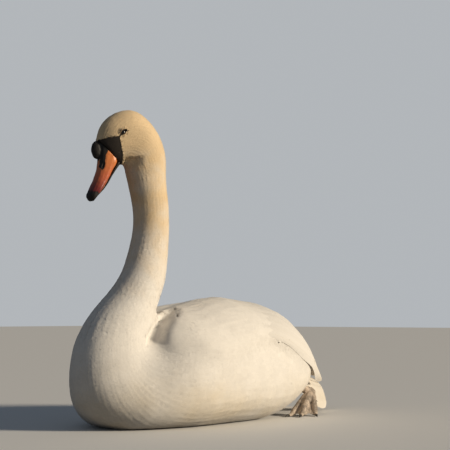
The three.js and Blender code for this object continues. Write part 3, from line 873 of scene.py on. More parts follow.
# Closed vanes along lines, joined in one mesh. Each has columns from edge to edge and rows from root to tip.
# Their light and shade follow the body's own form by a share, as soft plumage does.
def makeVanes(name, lines, outward, halfWidths, heights, shape, bakePlaces, patch, tones, rng, settle=None):
    count, rows = lines.shape[0], lines.shape[1] - 1
    columns = shape["columns"]
    across = np.linspace(-1, 1, columns)
    share = np.linspace(0, 1, rows + 1)
    jagged = rng.uniform(-1, 1, (count, columns)) * shape["fray"]
    reach = 1 - shape["roundness"] * np.abs(across) ** 2.2
    # how far along the line each point of the vane is
    place = share[:, None] * (1 + (reach - 1 + jagged[:, None, :]) * share[:, None] ** 2)
    place = np.clip(place, 0, 1) * rows
    low = np.minimum(place.astype(int), rows - 1)
    part = (place - low)[..., None]
    pick = np.arange(count)[:, None, None]
    sideways = unit(np.cross(outward, unit(np.gradient(lines, axis=1))))

    def along(values):
        return values[pick, low] * (1 - part) + values[pick, low + 1] * part

    middle, normal, side = along(lines), along(outward), along(sideways)
    width = shape["root"] + (1 - shape["root"]) * fade(share, -0.1, shape["shoulder"])
    width *= 1 - shape["taper"] * share ** 2
    lateral = halfWidths[:, None, None] * width[:, None] * across
    dome = shape["thickness"] * (1 - across ** 2) - shape["camber"] * across ** 2 * halfWidths[:, None]
    twist = rng.normal(0, shape["twist"], count)[:, None, None] * across * halfWidths[:, None, None] * share[:, None]
    flatPlaces = middle + side * lateral[..., None]
    lift = along(heights[..., None])[..., 0] + dome[:, None, :] + twist
    points = settle(flatPlaces, normal, lift) if settle else flatPlaces + normal * lift[..., None]
    points[..., 2] = np.maximum(points[..., 2], lowest)

    # each face's corners as row and column, whether it stays flat, and how far its map is drawn in
    faces = []
    for r in range(rows):
        faces += [([(r, c), (r + 1, c), (r + 1, c + 1), (r, c + 1)], False, 0) for c in range(columns - 1)]
        faces.append(([(r, 0), (r, columns - 1), (r + 1, columns - 1), (r + 1, 0)], True, 0))
    faces.append(([(rows, c) for c in reversed(range(columns))], True, 0.25))
    faces.append(([(0, c) for c in range(columns)], True, 0.25))
    corners = np.array([r * columns + c for ring, _, _ in faces for r, c in ring])
    cornerUv = np.array([((across[c] + 1) / 2, abs(share[r] - inset * (1 - across[c] ** 2)))
                         for ring, _, inset in faces for r, c in ring])
    sizes = np.tile([len(ring) for ring, _, _ in faces], count)
    flat = np.tile([isFlat for _, isFlat, _ in faces], count)

    perVane = (rows + 1) * columns
    mesh = bpy.data.meshes.new(name)
    mesh.vertices.add(count * perVane)
    mesh.vertices.foreach_set("co", points.reshape(-1))
    mesh.loops.add(sizes.sum())
    mesh.loops.foreach_set("vertex_index", (corners + np.arange(count)[:, None] * perVane).ravel())
    mesh.polygons.add(len(sizes))
    mesh.polygons.foreach_set("loop_start", np.concatenate([[0], np.cumsum(sizes)[:-1]]))
    mesh.update(calc_edges=True)
    mesh.polygons.foreach_set("use_smooth", ~flat)
    bakeUv = bakePlaces[:, None, :] + (cornerUv - np.array((0.5, 0))) * patch
    mesh.uv_layers.new(name="OFBake").data.foreach_set("uv", np.clip(bakeUv, 0.0001, 0.9999).ravel())
    for key, values in (("along", share[:, None]), ("across", across), ("tone", tones[:, None, None])):
        storeNumbers(mesh, key, np.broadcast_to(values, (count, rows + 1, columns)))
    softenNormals(mesh, normal.reshape(-1, 3), np.repeat(flat, sizes), shape["softness"])
    piece = bpy.data.objects.new(name, mesh)
    bpy.context.collection.objects.link(piece)
    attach(piece, "root")
    return piece


# Lifts places to a height over the skin below each of them, unless the skin is too far off.
def overSkin(flatPlaces, normal, lift, farthest):
    ways = np.broadcast_to(normal, flatPlaces.shape).reshape(-1, 3)
    flat = flatPlaces.reshape(-1, 3)
    # looked for from above, so that a fold doesn't pull the place sideways
    raised = flat + ways * laying["probe"]
    spots = np.array([skinTree.find_nearest(place)[0] for place in raised.tolist()])
    up = unit(raised - spots)
    up = np.where(((up * ways).sum(1) < laying["leastFacing"])[:, None], ways, up)
    near = (away(spots, flat) < farthest)[:, None]
    base, up = np.where(near, spots, flat), np.where(near, up, ways)
    return (base + up * lift.reshape(-1, 1)).reshape(flatPlaces.shape)


# fine ridges along the lie of the coat, about one high
def ridges(points, counts, seed, waves=16):
    rng = np.random.default_rng(seed)
    distance, _, angle = lieAt(points.reshape(-1, 3))
    total = np.zeros(len(angle))
    drawn = rng.integers(*counts, waves), rng.normal(0, 110, waves), rng.uniform(0, 6.28, waves)
    for count, bend, phase in zip(*drawn):
        total += np.sin(count * angle + bend * distance + phase)
    return (total / math.sqrt(waves / 2)).reshape(points.shape[:-1])


def softenNormals(mesh, bodyNormals, onFlat, softness):
    cornerVertices = read(mesh.loops, "vertex_index", 1, int)
    own = read(mesh.corner_normals, "vector", 3, np.float32)
    soft = unit(own * (1 - softness) + bodyNormals[cornerVertices] * softness)
    mesh.normals_split_custom_set(np.where(onFlat[:, None], own, soft))


# Picks roots on the skin so that no two are nearer than the spacing there.
def scatter(middleTest, spacingAt, rng, tries=7):
    mesh = skinPiece.data
    mesh.calc_loop_triangles()
    corners = skinPoints[read(mesh.loop_triangles, "vertices", 3, int)]
    corners = corners[middleTest(corners.mean(1))]
    cross = np.cross(corners[:, 1] - corners[:, 0], corners[:, 2] - corners[:, 0])
    crowd = np.linalg.norm(cross, axis=1) / 2 / spacingAt(corners.mean(1)) ** 2
    count = int(crowd.sum() * 0.7 * tries)
    chosen = corners[rng.choice(len(corners), count, p=crowd / crowd.sum())]
    a, b = rng.random((2, count))
    over = a + b > 1
    a, b = np.where(over, 1 - a, a)[:, None], np.where(over, 1 - b, b)[:, None]
    candidates = chosen[:, 0] + a * (chosen[:, 1] - chosen[:, 0])
    candidates += b * (chosen[:, 2] - chosen[:, 0])
    spacing = spacingAt(candidates)
    keys = np.floor(candidates / spacing.max()).astype(int)
    steps = [(i, j, k) for i in (-1, 0, 1) for j in (-1, 0, 1) for k in (-1, 0, 1)]
    grid, kept = {}, []
    for n, (p, key, gap) in enumerate(zip(candidates.tolist(), keys.tolist(), spacing.tolist())):
        near = (q for i, j, k in steps for q in grid.get((key[0] + i, key[1] + j, key[2] + k), ()))
        if all((p[0] - q[0]) ** 2 + (p[1] - q[1]) ** 2 + (p[2] - q[2]) ** 2 >= gap * gap for q in near):
            grid.setdefault(tuple(key), []).append(p)
            kept.append(n)
    return candidates[kept]


def bakeSpread(distance, angle):
    spread = []
    for values in (angle, distance):
        low, high = values.min(), values.max()
        spread.append(0.004 + (values - low) / (high - low) * (0.992 - 2 * patchSize))
    return np.stack(spread, axis=1)


# Where the neck's lie would run into the shoulders the coat turns out over them and back.
turning = {
    "into": (0.25, 0.70),  # how far the lie points into the skin
    "up": (0.11, 0.14),
    "along": (0.10, 0.0),
    "back": (-0.150, -0.100),
    "out": (1.0, 0.35, -0.25),
}


def turnedBack(points, flow):
    facing = np.array([skinTree.find_nearest(place)[1] for place in points.tolist()])
    x, y, up = points.T

    def laid(ways):
        return ways - facing * (ways * facing).sum(1, keepdims=True)

    share = fade(-(flow * facing).sum(1), *turning["into"]) * fade(up, *turning["up"]) * fade(y, *turning["along"])
    share, back = share[:, None], fade(y, *turning["back"])[:, None]
    outward = np.tile(turning["out"], (len(x), 1))
    outward[:, 0] *= np.where(x > 0, 1, -1)
    turned = unit(laid(outward * (1 - back) + np.array((0, 1.0, 0)) * back))
    return unit(laid(flow) * (1 - share) + turned * share)


# how much shorter a feather is where the skin folds up ahead of it
def foldShare(roots, flow, lengths):
    shares = []
    ahead, above = laying["foldTilt"]
    for root, heading, reach in zip(roots.tolist(), flow, lengths * laying["foldReach"]):
        place, normal, _, _ = skinTree.find_nearest(root)
        heading = Vector(heading)
        level = (heading - normal * heading.dot(normal)).normalized()
        hit = skinTree.ray_cast(place + normal * 0.0006, (level * ahead + normal * above).normalized(), reach)
        shares.append(1.0 if hit[0] is None else max(laying["foldLeast"], hit[3] / reach))
    return np.array(shares)


# One stretch of the coat: where it grows, and how long, wide and ruffled its feathers are.
def growCoat(name, test, facts, seed):
    rng = np.random.default_rng(seed)
    lengthAt = facts["length"]
    roots = scatter(test, lambda p: lengthAt(p) * facts["spacing"], rng)
    count = len(roots)
    distance, flow, angle = lieAt(roots)
    lengths = lengthAt(roots) * rng.uniform(0.85, 1.15, count)
    flow = turnedBack(roots, flow)
    if facts is wingFacts:
        share = fade(roots[:, 1], -0.04, 0.05)[:, None]
        flow = unit(flow * (1 - share) + wingFlow(roots) * share)
    flow = unit(flow + rng.normal(0, facts["stray"], flow.shape))
    lengths *= foldShare(roots, flow, lengths)
    lines, outward = drapedLines(roots, flow, lengths, facts["steps"])
    depth = facts["depth"](roots, distance)
    share = np.linspace(0, 1, facts["steps"] + 1)
    lumps = np.clip(0.5 + clumps(roots, facts["clump"]) * 1.3, 0, 1) * rng.uniform(0.5, 1.0, count)
    # from the skin up to the layer, then gently up to the coat's own surface at the tip
    rise = facts["rise"] * lengths
    heights = (depth - rise)[:, None] * fade(share, -0.12, 0.28) + rise[:, None] * share
    heights += (facts["ruffle"](roots) * lengths * lumps)[:, None] * share ** 2
    heights += rng.normal(0, facts["uneven"], count)[:, None] * lengths[:, None] * fade(share, 0, 0.3)
    tones = np.clip(0.5 + rng.normal(0, 0.16, count) + 0.5 * clumps(roots, 45), 0, 1)

    def settle(flatPlaces, normal, lift):
        ridged = 1 + facts["ridge"] * ridges(flatPlaces, facts["ridges"], 3)
        return overSkin(flatPlaces, normal, lift * ridged, laying["coatReach"])

    piece = makeVanes(name, lines, outward, lengths * facts["width"], heights, facts["shape"],
                      bakeSpread(distance, angle), patchSize, tones, rng, settle)
    piece.data.materials.append(softFeather)
    print(name, "has", count, "feathers")


tinyVane = {"columns": 3, "fray": 0.08, "roundness": 0.35, "root": 0.75, "shoulder": 0.4, "taper": 0.15,
            "thickness": 0.00012, "camber": 0.0, "twist": 0.012, "softness": 0.55}
bodyVane = {"columns": 5, "fray": 0.05, "roundness": 0.40, "root": 0.7, "shoulder": 0.45, "taper": 0.12,
            "thickness": 0.00015, "camber": 0.0, "twist": 0.006, "softness": 0.55}
wingVane = {"columns": 5, "fray": 0.03, "roundness": 0.30, "root": 0.6, "shoulder": 0.4, "taper": 0.10,
            "thickness": 0.0002, "camber": 0.0, "twist": 0.004, "softness": 0.5}
flightVane = {"columns": 7, "fray": 0.0, "roundness": 0.10, "root": 0.35, "shoulder": 0.3, "taper": 0.12,
              "thickness": 0.0006, "camber": 0.05, "twist": 0.0, "softness": 0.3}
pointedVane = {**flightVane, "roundness": 0.16, "taper": 0.45, "camber": 0.16}

bodyLengths = [0.0034, 0.0046, 0.0062, 0.0080, 0.0105, 0.0140, 0.0180, 0.0210, 0.0240]
wingPlaces = [-0.20, -0.12, -0.04, 0.05, 0.14, 0.22, 0.30]
wingLengths = [0.012, 0.014, 0.018, 0.024, 0.031, 0.036, 0.030]


# feathers are smaller round the eyes and in the hollow behind the neck
small = {
    "share": 0.4,
    "over": ((-0.020, -0.004), (0.085, 0.060)),
    "up": ((0.140, 0.155), (0.228, 0.215)),
    "eyeReach": (0.016, 0.011),
}


def finer(points):
    inHollow = math.prod(fade(overEdge(points), *ends) for ends in small["over"])
    inHollow *= math.prod(fade(points[:, 2], *ends) for ends in small["up"])
    return 1 - small["share"] * np.maximum(inHollow, fade(roundEye(points)[0], *small["eyeReach"]))


def bodyLengthAt(points):
    return np.interp(lieAt(points)[0], coatLengths, bodyLengths) * finer(points)


def wingLengthAt(points):
    return np.interp(points[:, 1], wingPlaces, wingLengths) * finer(points)


def bodyDepth(roots, distance):
    return np.interp(distance, coatLengths, skin["depths"]) * (1 - bareAmount(roots))


def wingDepth(roots, distance):
    return np.full(len(roots), skin["wingDepth"])


def isOn(middles, names):
    return np.isin(labelOf(middles, fleshNodes), [fleshNodes.index(name) for name in names])


bodyFacts = {"length": bodyLengthAt, "depth": bodyDepth, "steps": 3}
headFacts = {**bodyFacts, "spacing": 0.27, "stray": 0.07, "rise": 0.04, "uneven": 0.003, "width": 0.36, "clump": 140,
             "ruffle": lambda roots: 0.008 + 0.07 * fade(roots[:, 2], 0.532, 0.548),
             "shape": tinyVane, "ridge": 0.10, "ridges": (40, 70)}
neckFacts = {**bodyFacts, "spacing": 0.22, "stray": 0.08, "rise": 0.03, "uneven": 0.002, "width": 0.38, "clump": 90,
             "ruffle": lambda roots: 0.012, "shape": tinyVane, "ridge": 0.09, "ridges": (25, 60)}
trunkFacts = {**bodyFacts, "spacing": 0.222, "stray": 0.06, "rise": 0.022, "uneven": 0.0015, "width": 0.38, "clump": 50,
              "ruffle": lambda roots: 0.006, "shape": bodyVane, "ridge": 0.08, "ridges": (60, 120)}
wingFacts = {"length": wingLengthAt, "depth": wingDepth, "steps": 4, "spacing": 0.22, "stray": 0.03, "rise": 0.02,
             "uneven": 0.0012, "width": 0.36, "clump": 60,
             "ruffle": lambda roots: 0.004 + 0.06 * fade(roots[:, 1], 0.03, -0.05) * fade(roots[:, 2], 0.15, 0.20),
             "shape": wingVane, "ridge": 0.07, "ridges": (50, 100)}


bareOf = {
    "eyeReach": 0.0098,
    "eyePast": 7,  # degrees past the lids' opening
    "ahead": 0.0034,  # a feather's tip on the head
    "tipBare": 0.6,
    "rootBare": 0.4,
    "billFrom": 0.083,
    "billUp": (0.46, 0.507),
    "belly": 0.0008,
    "outerFrom": 0.15,  # from here back the wings come close to each other
    "wingEnd": 0.228,
}


def clearOfEyes(points):
    reach, angle, opening = roundEye(points)
    return (reach > bareOf["eyeReach"]) | (angle > opening + bareOf["eyePast"])


def featherable(middles):
    up = middles[:, 2]
    clear = clearOfEyes(middles)
    high = up > 0.5
    ahead = middles[high] + lieAt(middles[high])[1] * bareOf["ahead"]
    clear[high] &= clearOfEyes(ahead) & (bareAmount(ahead) < bareOf["tipBare"])
    low, top = bareOf["billUp"]
    onBillBase = (headPlaces(middles)[:, 0] > bareOf["billFrom"]) & (up > low) & (up < top)
    return (bareAmount(middles) < bareOf["rootBare"]) & clear & ~onBillBase & (up > bareOf["belly"])


# the outer face of a wing, away from the flank and the other wing
def onOuterFace(middles):
    kept = np.ones(len(middles), bool)
    for i in np.flatnonzero(middles[:, 1] >= bareOf["outerFrom"]):
        middle = Vector(middles[i])
        middleSide, middleUp, _, _ = wingSizes(middle.y)
        out = (middle - Vector((math.copysign(middleSide, middle.x), middle.y, middleUp))).normalized()
        kept[i] = skinTree.ray_cast(middle + out * 0.0015, out, 0.03)[0] is None
    return kept


# the coat of a wing lies along its lower edge
def wingFlow(points):
    y, side, above = points[:, 1], np.where(points[:, 0] > 0, 1, -1), aboveEdge(points)
    start, end = (onWing(y + ahead, edgeAngle(y + ahead) - above, side)[0] for ahead in (0, 0.01))
    return unit(end - start)


def makeCoat():
    parts = {
        "coatHead": (["head"], 0, headFacts),
        "coatNeck": (["neck_lower", "neck_middle", "neck_upper"], 0, neckFacts),
        "coatBodyLeft": (["trunk"], 1, trunkFacts),
        "coatBodyRight": (["trunk"], -1, trunkFacts),
        "coatWingLeft": (["wing_left"], 0, wingFacts),
        "coatWingRight": (["wing_right"], 0, wingFacts),
    }
    for seed, (name, (names, side, facts)) in enumerate(parts.items(), 11):
        def test(middles):
            inPart = isOn(middles, names) & featherable(middles)
            if facts is wingFacts:
                return inPart & onOuterFace(middles) & (middles[:, 1] < bareOf["wingEnd"])
            return inPart & (middles[:, 0] * side >= 0)
        growCoat(name, test, facts, seed)


makeCoat()
print("coat grown")


# tail and flight feathers
tail = {
    "feathers": 20,
    "start": 0.226,
    "ends": (0.371, 0.362),  # in the middle and at the sides
    "along": [0.226, 0.262, 0.298, 0.332, 0.358, 0.372],
    "middleUp": [0.087, 0.082, 0.077, 0.071, 0.063, 0.055],
    "halfSpread": [0.034, 0.046, 0.057, 0.062, 0.058, 0.047],
    "hang": [0.008, 0.020, 0.042, 0.060, 0.050, 0.029],
    "arch": 4,
    "halfWidth": 0.0125,
    "stack": 0.00025,
    "sunk": 0.0006,
    "width": 0.97,  # share of the arch that the feathers' middles take up
    "steps": 10,
}


# a place on the tail's arch at a share of the way from its top to one edge, and the way out of it there
def onArch(y, across):
    spread, hang, top = (np.interp(y, tail["along"], tail[key]) for key in ("halfSpread", "hang", "middleUp"))
    arch = tail["arch"]
    sides = np.linspace(0, 1, 60)
    lengths = np.concatenate([[0], np.cumsum(np.hypot(np.diff(sides) * spread, np.diff(hang * sides ** arch)))])
    side = np.interp(abs(across) * lengths[-1], lengths, sides)
    slope = hang / spread * arch * side ** (arch - 1)
    sign = 1 if across > 0 else -1
    return (sign * side * spread, y, top - hang * side ** arch), (sign * slope, 0.15, 1.0)


def makeTail():
    lines, outward, heights = [], [], []
    for across in np.linspace(-tail["width"], tail["width"], tail["feathers"]):
        end = tail["ends"][0] + (tail["ends"][1] - tail["ends"][0]) * across ** 2
        spots = [onArch(y, across) for y in np.linspace(tail["start"], end, tail["steps"] + 1)]
        lines.append([place for place, _ in spots])
        outward.append(unit(np.array([way for _, way in spots])))
        height = (1 - abs(across)) * tail["stack"] * tail["feathers"] / 2 - tail["sunk"]
        heights.append(np.full(len(spots), height))
    layFlight("tailFeathers", lines, outward, heights, tail["halfWidth"], 5, ["tail"])


# long feathers laid side by side, each baked on a cell of its own
def layFlight(name, lines, outward, heights, halfWidth, seed, replaced, shape=flightVane, settle=None):
    rng = np.random.default_rng(seed)
    count = len(lines)
    cells = np.stack([(np.arange(count) + 0.5) / count, np.full(count, 0.01)], axis=1)
    widths = halfWidth * rng.uniform(0.97, 1.03, count)
    tones = rng.uniform(0.35, 0.75, count)
    piece = makeVanes(name, np.array(lines), np.array(outward), widths, np.array(heights), shape, cells,
                      np.array((0.9 / count, 0.97)), tones, rng, settle)
    piece.data.materials.append(flightFeather)
    if replaced:
        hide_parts(*replaced)


primaries = {
    "feathers": 5,
    "path": [(0.066, 0.214, 0.140), (0.044, 0.268, 0.128), (0.018, 0.322, 0.106), (-0.010, 0.372, 0.076)],
    "lift": {1: 0.005, -1: -0.004},
    "shorter": 0.085,  # each one's share of length behind the next
    "apart": 0.0045,
    "under": 0.0004,
    "halfWidth": 0.0125,
    "steps": 10,
}


def curveThrough(points, count):
    points = [Vector(p) for p in points]
    points = [points[0] * 2 - points[1], *points, points[-1] * 2 - points[-2]]
    line = []
    for step in np.linspace(0, len(points) - 3.0001, count):
        i = int(step)
        line.append(between(*points[i:i + 4], step - i))
    return np.array(line)


def makePrimaries(side):
    path = [(x * side, y, z + primaries["lift"][side]) for x, y, z in primaries["path"]]
    line = curveThrough(path, 40)
    lines = []
    for i in range(primaries["feathers"]):
        last = int(39 * (1 - primaries["shorter"] * i))
        picked = line[np.round(np.linspace(0, last, primaries["steps"] + 1)).astype(int)]
        lines.append(picked + np.array((side * primaries["apart"] * i, 0, -primaries["under"] * i)))
    outward = np.broadcast_to(unit(np.array((side * 0.25, 0.3, 1.0))), np.shape(lines))
    heights = np.zeros(outward.shape[:2])
    name = "Left" if side > 0 else "Right"
    replaced = ["primaries_" + name.lower()]
    layFlight("primaries" + name, lines, outward, heights, primaries["halfWidth"], 6 + side, replaced, pointedVane)


# the long feathers that end the folded wing, one above another from its lower edge
tertials = {
    "feathers": 15,
    "inset": 4.5,  # degrees from the wing's edge
    "apart": 9.0,
    "starts": 0.035,
    "startsLater": 0.006,
    "root": 0.0006,  # above the skin where it emerges, then above the coat
    "emerges": (-0.05, 0.30),
    "over": [0.0016, 0.0011, 0.0005, 0.0001, 0.0],
    "stack": 0.00015,
    "ends": 0.325,
    "shorter": 0.0035,
    "leaves": (0.195, 0.245),
    "halfWidth": 0.0145,
    "steps": 16,
}


def makeTertials(side):
    lines, outward, heights = [], [], []
    share = np.linspace(0, 1, tertials["steps"] + 1)
    for i in range(tertials["feathers"]):
        start = tertials["starts"] + tertials["startsLater"] * i
        y = np.linspace(start, tertials["ends"] - tertials["shorter"] * i, len(share))
        place, way = onWing(y, edgeAngle(y) - tertials["inset"] - tertials["apart"] * i, side)
        lines.append(place)
        outward.append(way)
        over = tertials["over"][min(i, len(tertials["over"]) - 1)] + tertials["stack"] * i
        root, top = tertials["root"], skin["wingDepth"] + over
        heights.append(root + (top - root) * fade(share, *tertials["emerges"]))

    # over the skin as far as it goes, then on the wing's own face
    def settle(flatPlaces, normal, lift):
        onSkin = 1 - fade(flatPlaces[..., 1], *tertials["leaves"])[..., None]
        free = onWingFace(flatPlaces, lift - skin["wingDepth"] - tertials["over"][0])
        return free + (overSkin(flatPlaces, normal, lift, laying["tertialReach"]) - free) * onSkin

    name = "tertialsLeft" if side > 0 else "tertialsRight"
    layFlight(name, lines, outward, heights, tertials["halfWidth"], 8 + side, [], flightVane, settle)


makeTail()
for side in (1, -1):
    makePrimaries(side)
    makeTertials(side)
print("flight feathers laid")


# bill
bill = {
    "swell": 0.0004,
    "voxel": 0.0008,
    "smooths": 8,
    "orange": (0.82, 0.27, 0.085),  # from the base down: orange, middle, deep
    "middle": (0.64, 0.16, 0.07),
    "deep": (0.20, 0.032, 0.034),
    "black": (0.010, 0.008, 0.007),
    "worn": (0.035, 0.028, 0.023),
    "pale": (0.62, 0.36, 0.20),
    "nostril": (0.0885, 0.462),
    "nostrilHalf": (0.0050, 0.0016),
    "nostrilDeep": 0.0019,
    "lowerEdge": [(0.056, 0.477), (0.062, 0.466), (0.068, 0.4542), (0.0744, 0.4414), (0.0804, 0.4302), (0.087, 0.420),
                  (0.0936, 0.411), (0.0996, 0.4028), (0.103, 0.398)],
    "nailStart": (0.105, 0.4135),  # forward and up, where the groove round the nail crosses the top
    "nailSlope": 0.25,
    "groove": (0.0007, 0.0003),  # half width and depth
    "rim": (1.35, 0.35, 0.0003),  # round the nostril, in its own sizes, and its height
    "lumps": [(130, 0.0004), (420, 0.0001)],
    "middleHalf": 0.004,  # nothing is cut or raised this near the middle
    "lowerSwell": 0.0003,
    "lowerSmooths": 5,
    "lowerIn": (0.0017, 0.0006),  # forward and up, closed under the upper bill
    "cheek": (0.0665, 0.4655),
    "cheekWide": 0.0065,
    "cheekHigh": 0.0011,
    "toMiddle": (0.476, 0.440),
    "toDeep": (0.448, 0.414),
    "edgeBlack": (0.0009, 0.0005),  # from the cutting edge
    "edgePale": (0.0030, 0.0022),
    "paleBelow": (0.446, 0.426),
    "knobEnds": (1.24, 1.10),  # squared, in the knob's own sizes
    "nailEnds": (0.3905, 0.3870),
    "baseLine": (0.0530, 0.4728, 0.0865, 0.4985),  # black above this, from the gape to the knob
    "knob": ((0.0955, 0.0122), (0.0, 0.0122), (0.4905, 0.0192)),  # middle and half size: forward, side and up
}
billAxis = np.array((0.335, -0.942))  # from the base to the tip, as forward and up


# how far each place is from the cutting edge, seen from the side
def fromEdge(local):
    pairs = zip(bill["lowerEdge"], bill["lowerEdge"][1:])
    return np.min([fromSegment(local[:, [0, 2]], a, b) for a, b in pairs], axis=0)


def makeUpperBill():
    replaced = ["bill_upper", "bill_nail", "bill_knob"]
    piece = joinedCopy("upperBill", replaced)
    melted(piece, bill["swell"], bill["voxel"], bill["smooths"])
    points = places(piece.data)
    forward, side, up = headPlaces(points).T
    profile, offMiddle = np.stack([forward, up], axis=1), np.abs(side) > bill["middleHalf"]
    fromNostril = profile - np.array(bill["nostril"])
    halfLong, halfWide = bill["nostrilHalf"]
    along = fromNostril @ billAxis / halfLong
    across = fromNostril @ np.array((-billAxis[1], billAxis[0])) / halfWide
    hole = np.exp(-along ** 4 - across ** 2) * offMiddle
    rimReach, rimHalf, rimHigh = bill["rim"]
    rim = np.exp(-((np.hypot(along, across) - rimReach) / rimHalf) ** 2) * offMiddle
    nailForward, nailUp = bill["nailStart"]
    grooveHalf, grooveDeep = bill["groove"]
    groove = np.exp(-((up - nailUp - bill["nailSlope"] * (forward - nailForward)) / grooveHalf) ** 2)
    cheek = np.exp(-(away(profile, bill["cheek"]) / bill["cheekWide"]) ** 2) * offMiddle
    raised = rim * rimHigh + cheek * bill["cheekHigh"] + bumps(points, bill["lumps"])
    sunk = bill["swell"] + hole * bill["nostrilDeep"] + groove * grooveDeep
    points += normals(piece.data) * (raised - sunk)[:, None]
    setPlaces(piece.data, points)
    local = headPlaces(points)
    storeVectors(piece.data, "headPlace", local)
    storeNumbers(piece.data, "fromEdge", fromEdge(local))
    finishSmooth(piece, makeBillMaterial(), replaced)


def makeBillMaterial():
    material, tree, shader = newMaterial("billHorn", Specular_IOR_Level=0.5)
    place = objectPlace(tree)
    local = apart(tree, attribute(tree, "headPlace", "Vector"))
    forward, up = local[0], local[2]
    blotch = noiseOf(tree, place, 120.0, 3.0, 0.6)
    fine = noiseOf(tree, place, 900.0, 2.0, 0.6)
    height = swung(tree, up, blotch, 0.012)
    colour = mixed(tree, ranged(tree, height, *bill["toMiddle"]), bill["orange"], bill["middle"])
    colour = mixed(tree, ranged(tree, height, *bill["toDeep"]), colour, bill["deep"])
    # the pale line above the cutting edge, then the black edge itself
    edge = swung(tree, attribute(tree, "fromEdge"), blotch, 0.0012)
    nearEdge, isLow = ranged(tree, edge, *bill["edgePale"]), ranged(tree, up, *bill["paleBelow"])
    colour = mixed(tree, maths(tree, "MULTIPLY", nearEdge, isLow, 0.8), colour, bill["pale"])
    edgePart = ranged(tree, edge, *bill["edgeBlack"])
    # black above the base line, in a patch round the nostril, on the knob and on the nail
    names = ("First Forward", "First Up", "Second Forward", "Second Up")
    base = placed(tree, edgeSide, Forward=forward, Up=up, **dict(zip(names, bill["baseLine"])))["Side"]
    frayed = swung(tree, swung(tree, forward, fine, 0.0018), blotch, 0.0030)
    patchMiddle = ranged(tree, up, 0.452, 0.497, 0.0900, 0.0872, smooth=False)
    patchHalf = maths(tree, "ADD", ranged(tree, up, 0.4520, 0.4600, 0.0, 0.0042),
                      ranged(tree, up, 0.478, 0.492, 0.0, 0.0035))
    fromMiddle = maths(tree, "ABSOLUTE", maths(tree, "SUBTRACT", frayed, patchMiddle))
    patchPart = ranged(tree, maths(tree, "SUBTRACT", fromMiddle, patchHalf), 0.0004, -0.0004)
    squares = [maths(tree, "POWER", maths(tree, "DIVIDE", maths(tree, "SUBTRACT", value, middle), half), 2.0)
               for value, (middle, half) in zip(local, bill["knob"])]
    knobPart = ranged(tree, maths(tree, "ADD", *squares, maths(tree, "MULTIPLY", fine, 0.12)), *bill["knobEnds"])
    nailLine = maths(tree, "SUBTRACT", height, maths(tree, "MULTIPLY", forward, bill["nailSlope"]))
    nailPart = ranged(tree, nailLine, *bill["nailEnds"])
    black = maths(tree, "MAXIMUM", base, patchPart, knobPart, nailPart, edgePart)
    dark = mixed(tree, ranged(tree, blotch, 0.4, 0.8), bill["black"], bill["worn"])
    link(tree, mixed(tree, black, colour, dark), shader.inputs["Base Color"])
    wear = ranged(tree, fine, 0.2, 0.8, 0.24, 0.36)
    link(tree, ranged(tree, black, 0.0, 1.0, wear, 0.62, smooth=False), shader.inputs["Roughness"])
    link(tree, bump(tree, maths(tree, "ADD", fine, blotch), 0.25, 0.0004), shader.inputs["Normal"])
    return material


def makeLowerBill():
    piece = joinedCopy("lowerBill", ["bill_lower"])
    melted(piece, bill["lowerSwell"], bill["voxel"], bill["lowerSmooths"])
    forwardIn, upIn = bill["lowerIn"]
    points = places(piece.data) - normals(piece.data) * bill["lowerSwell"]
    points += np.array(headForward) * forwardIn + np.array((0, 0, upIn))
    setPlaces(piece.data, points)
    storeVectors(piece.data, "headPlace", headPlaces(points))
    material, tree, shader = newMaterial("lowerBillHorn", Roughness=0.5)
    side = apart(tree, attribute(tree, "headPlace", "Vector"))[1]
    fine = noiseOf(tree, objectPlace(tree), 500.0, 3.0, 0.6)
    centre = ranged(tree, maths(tree, "ABSOLUTE", side), 0.0085, 0.0060)
    colour = mixed(tree, centre, bill["black"], mixed(tree, fine, bill["deep"], bill["middle"]))
    link(tree, colour, shader.inputs["Base Color"])
    link(tree, bump(tree, fine, 0.3, 0.0004), shader.inputs["Normal"])
    finishSmooth(piece, material, ["bill_lower"])


makeUpperBill()
makeLowerBill()
print("bill made")


# eyes
eye = {
    "radius": 0.0057,
    "cornea": 0.0003,
    "corneaEnds": (42, 20),
    "ahead": 0.25,
    "pupil": 26,  # degrees from the middle of the gaze
    "iris": 47,
    "irisColour": (0.035, 0.016, 0.008),
    "irisInner": (0.012, 0.006, 0.004),
    "blackColour": (0.003, 0.003, 0.003),
}


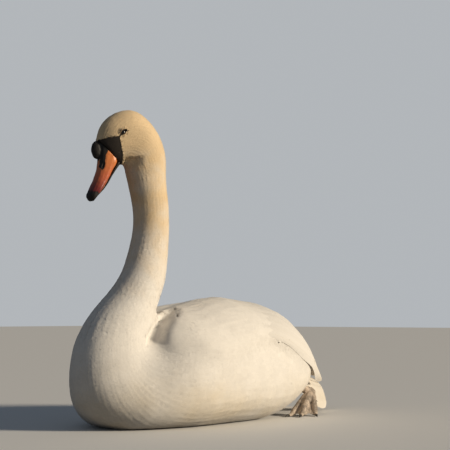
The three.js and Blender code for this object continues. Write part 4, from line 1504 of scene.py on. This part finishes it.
def makeEyeMaterial():
    material, tree, shader = newMaterial("eyeGlass", Roughness=0.08, Coat_Weight=1.0, Coat_Roughness=0.02)
    angle = attribute(tree, "gaze")
    streaks = noiseOf(tree, objectPlace(tree), 1500.0, 2.0)
    iris = mixed(tree, streaks, eye["irisInner"], eye["irisColour"])
    colour = mixed(tree, ranged(tree, angle, eye["pupil"] - 1.5, eye["pupil"] + 1.5), eye["blackColour"], iris)
    colour = mixed(tree, ranged(tree, angle, eye["iris"] - 2, eye["iris"] + 2), colour, eye["blackColour"])
    link(tree, colour, shader.inputs["Base Color"])
    return material


def makeEyes():
    material = makeEyeMaterial()
    for middle, side, name in zip(eyeMiddles, (1, -1), ("Left", "Right")):
        bpy.ops.object.select_all(action="DESELECT")
        bpy.ops.mesh.primitive_uv_sphere_add(segments=40, ring_count=24, radius=eye["radius"])
        piece = bpy.context.active_object
        piece.name = "eye" + name
        gaze = (headLeft * side + headForward * eye["ahead"]).normalized()
        piece.rotation_euler = gaze.to_track_quat("Z", "Y").to_euler()
        piece.location = middle
        bpy.ops.object.transform_apply(location=True, rotation=True, scale=True)
        points = places(piece.data)
        out = unit(points - np.array(middle))
        angle = np.degrees(np.arccos(np.clip(out @ np.array(gaze), -1, 1)))
        points += out * (eye["cornea"] * fade(angle, *eye["corneaEnds"]))[:, None]
        setPlaces(piece.data, points)
        storeNumbers(piece.data, "gaze", angle)
        finishSmooth(piece, material, ["eye_" + name.lower()])


makeEyes()
print("eyes set")


# claws
claws = {"dark": (0.010, 0.009, 0.008), "pale": (0.050, 0.043, 0.036)}


def makeClaws():
    material, tree, shader = newMaterial("clawHorn", Roughness=0.42)
    grain = noiseOf(tree, objectPlace(tree), 400.0, 3.0, 0.6)
    link(tree, mixed(tree, grain, claws["dark"], claws["pale"]), shader.inputs["Base Color"])
    link(tree, bump(tree, grain, 0.3, 0.0003), shader.inputs["Normal"])
    for side in ("left", "right"):
        names = [f"claw_{side}_{i}" for i in range(1, 5)]
        piece = joinedCopy("claws" + side.capitalize(), names)
        applied(piece, "SUBSURF", levels=2, render_levels=2)
        finishSmooth(piece, material, names)


makeClaws()
finishSkin(skinPiece, makeFeet())
print("feet and claws made")
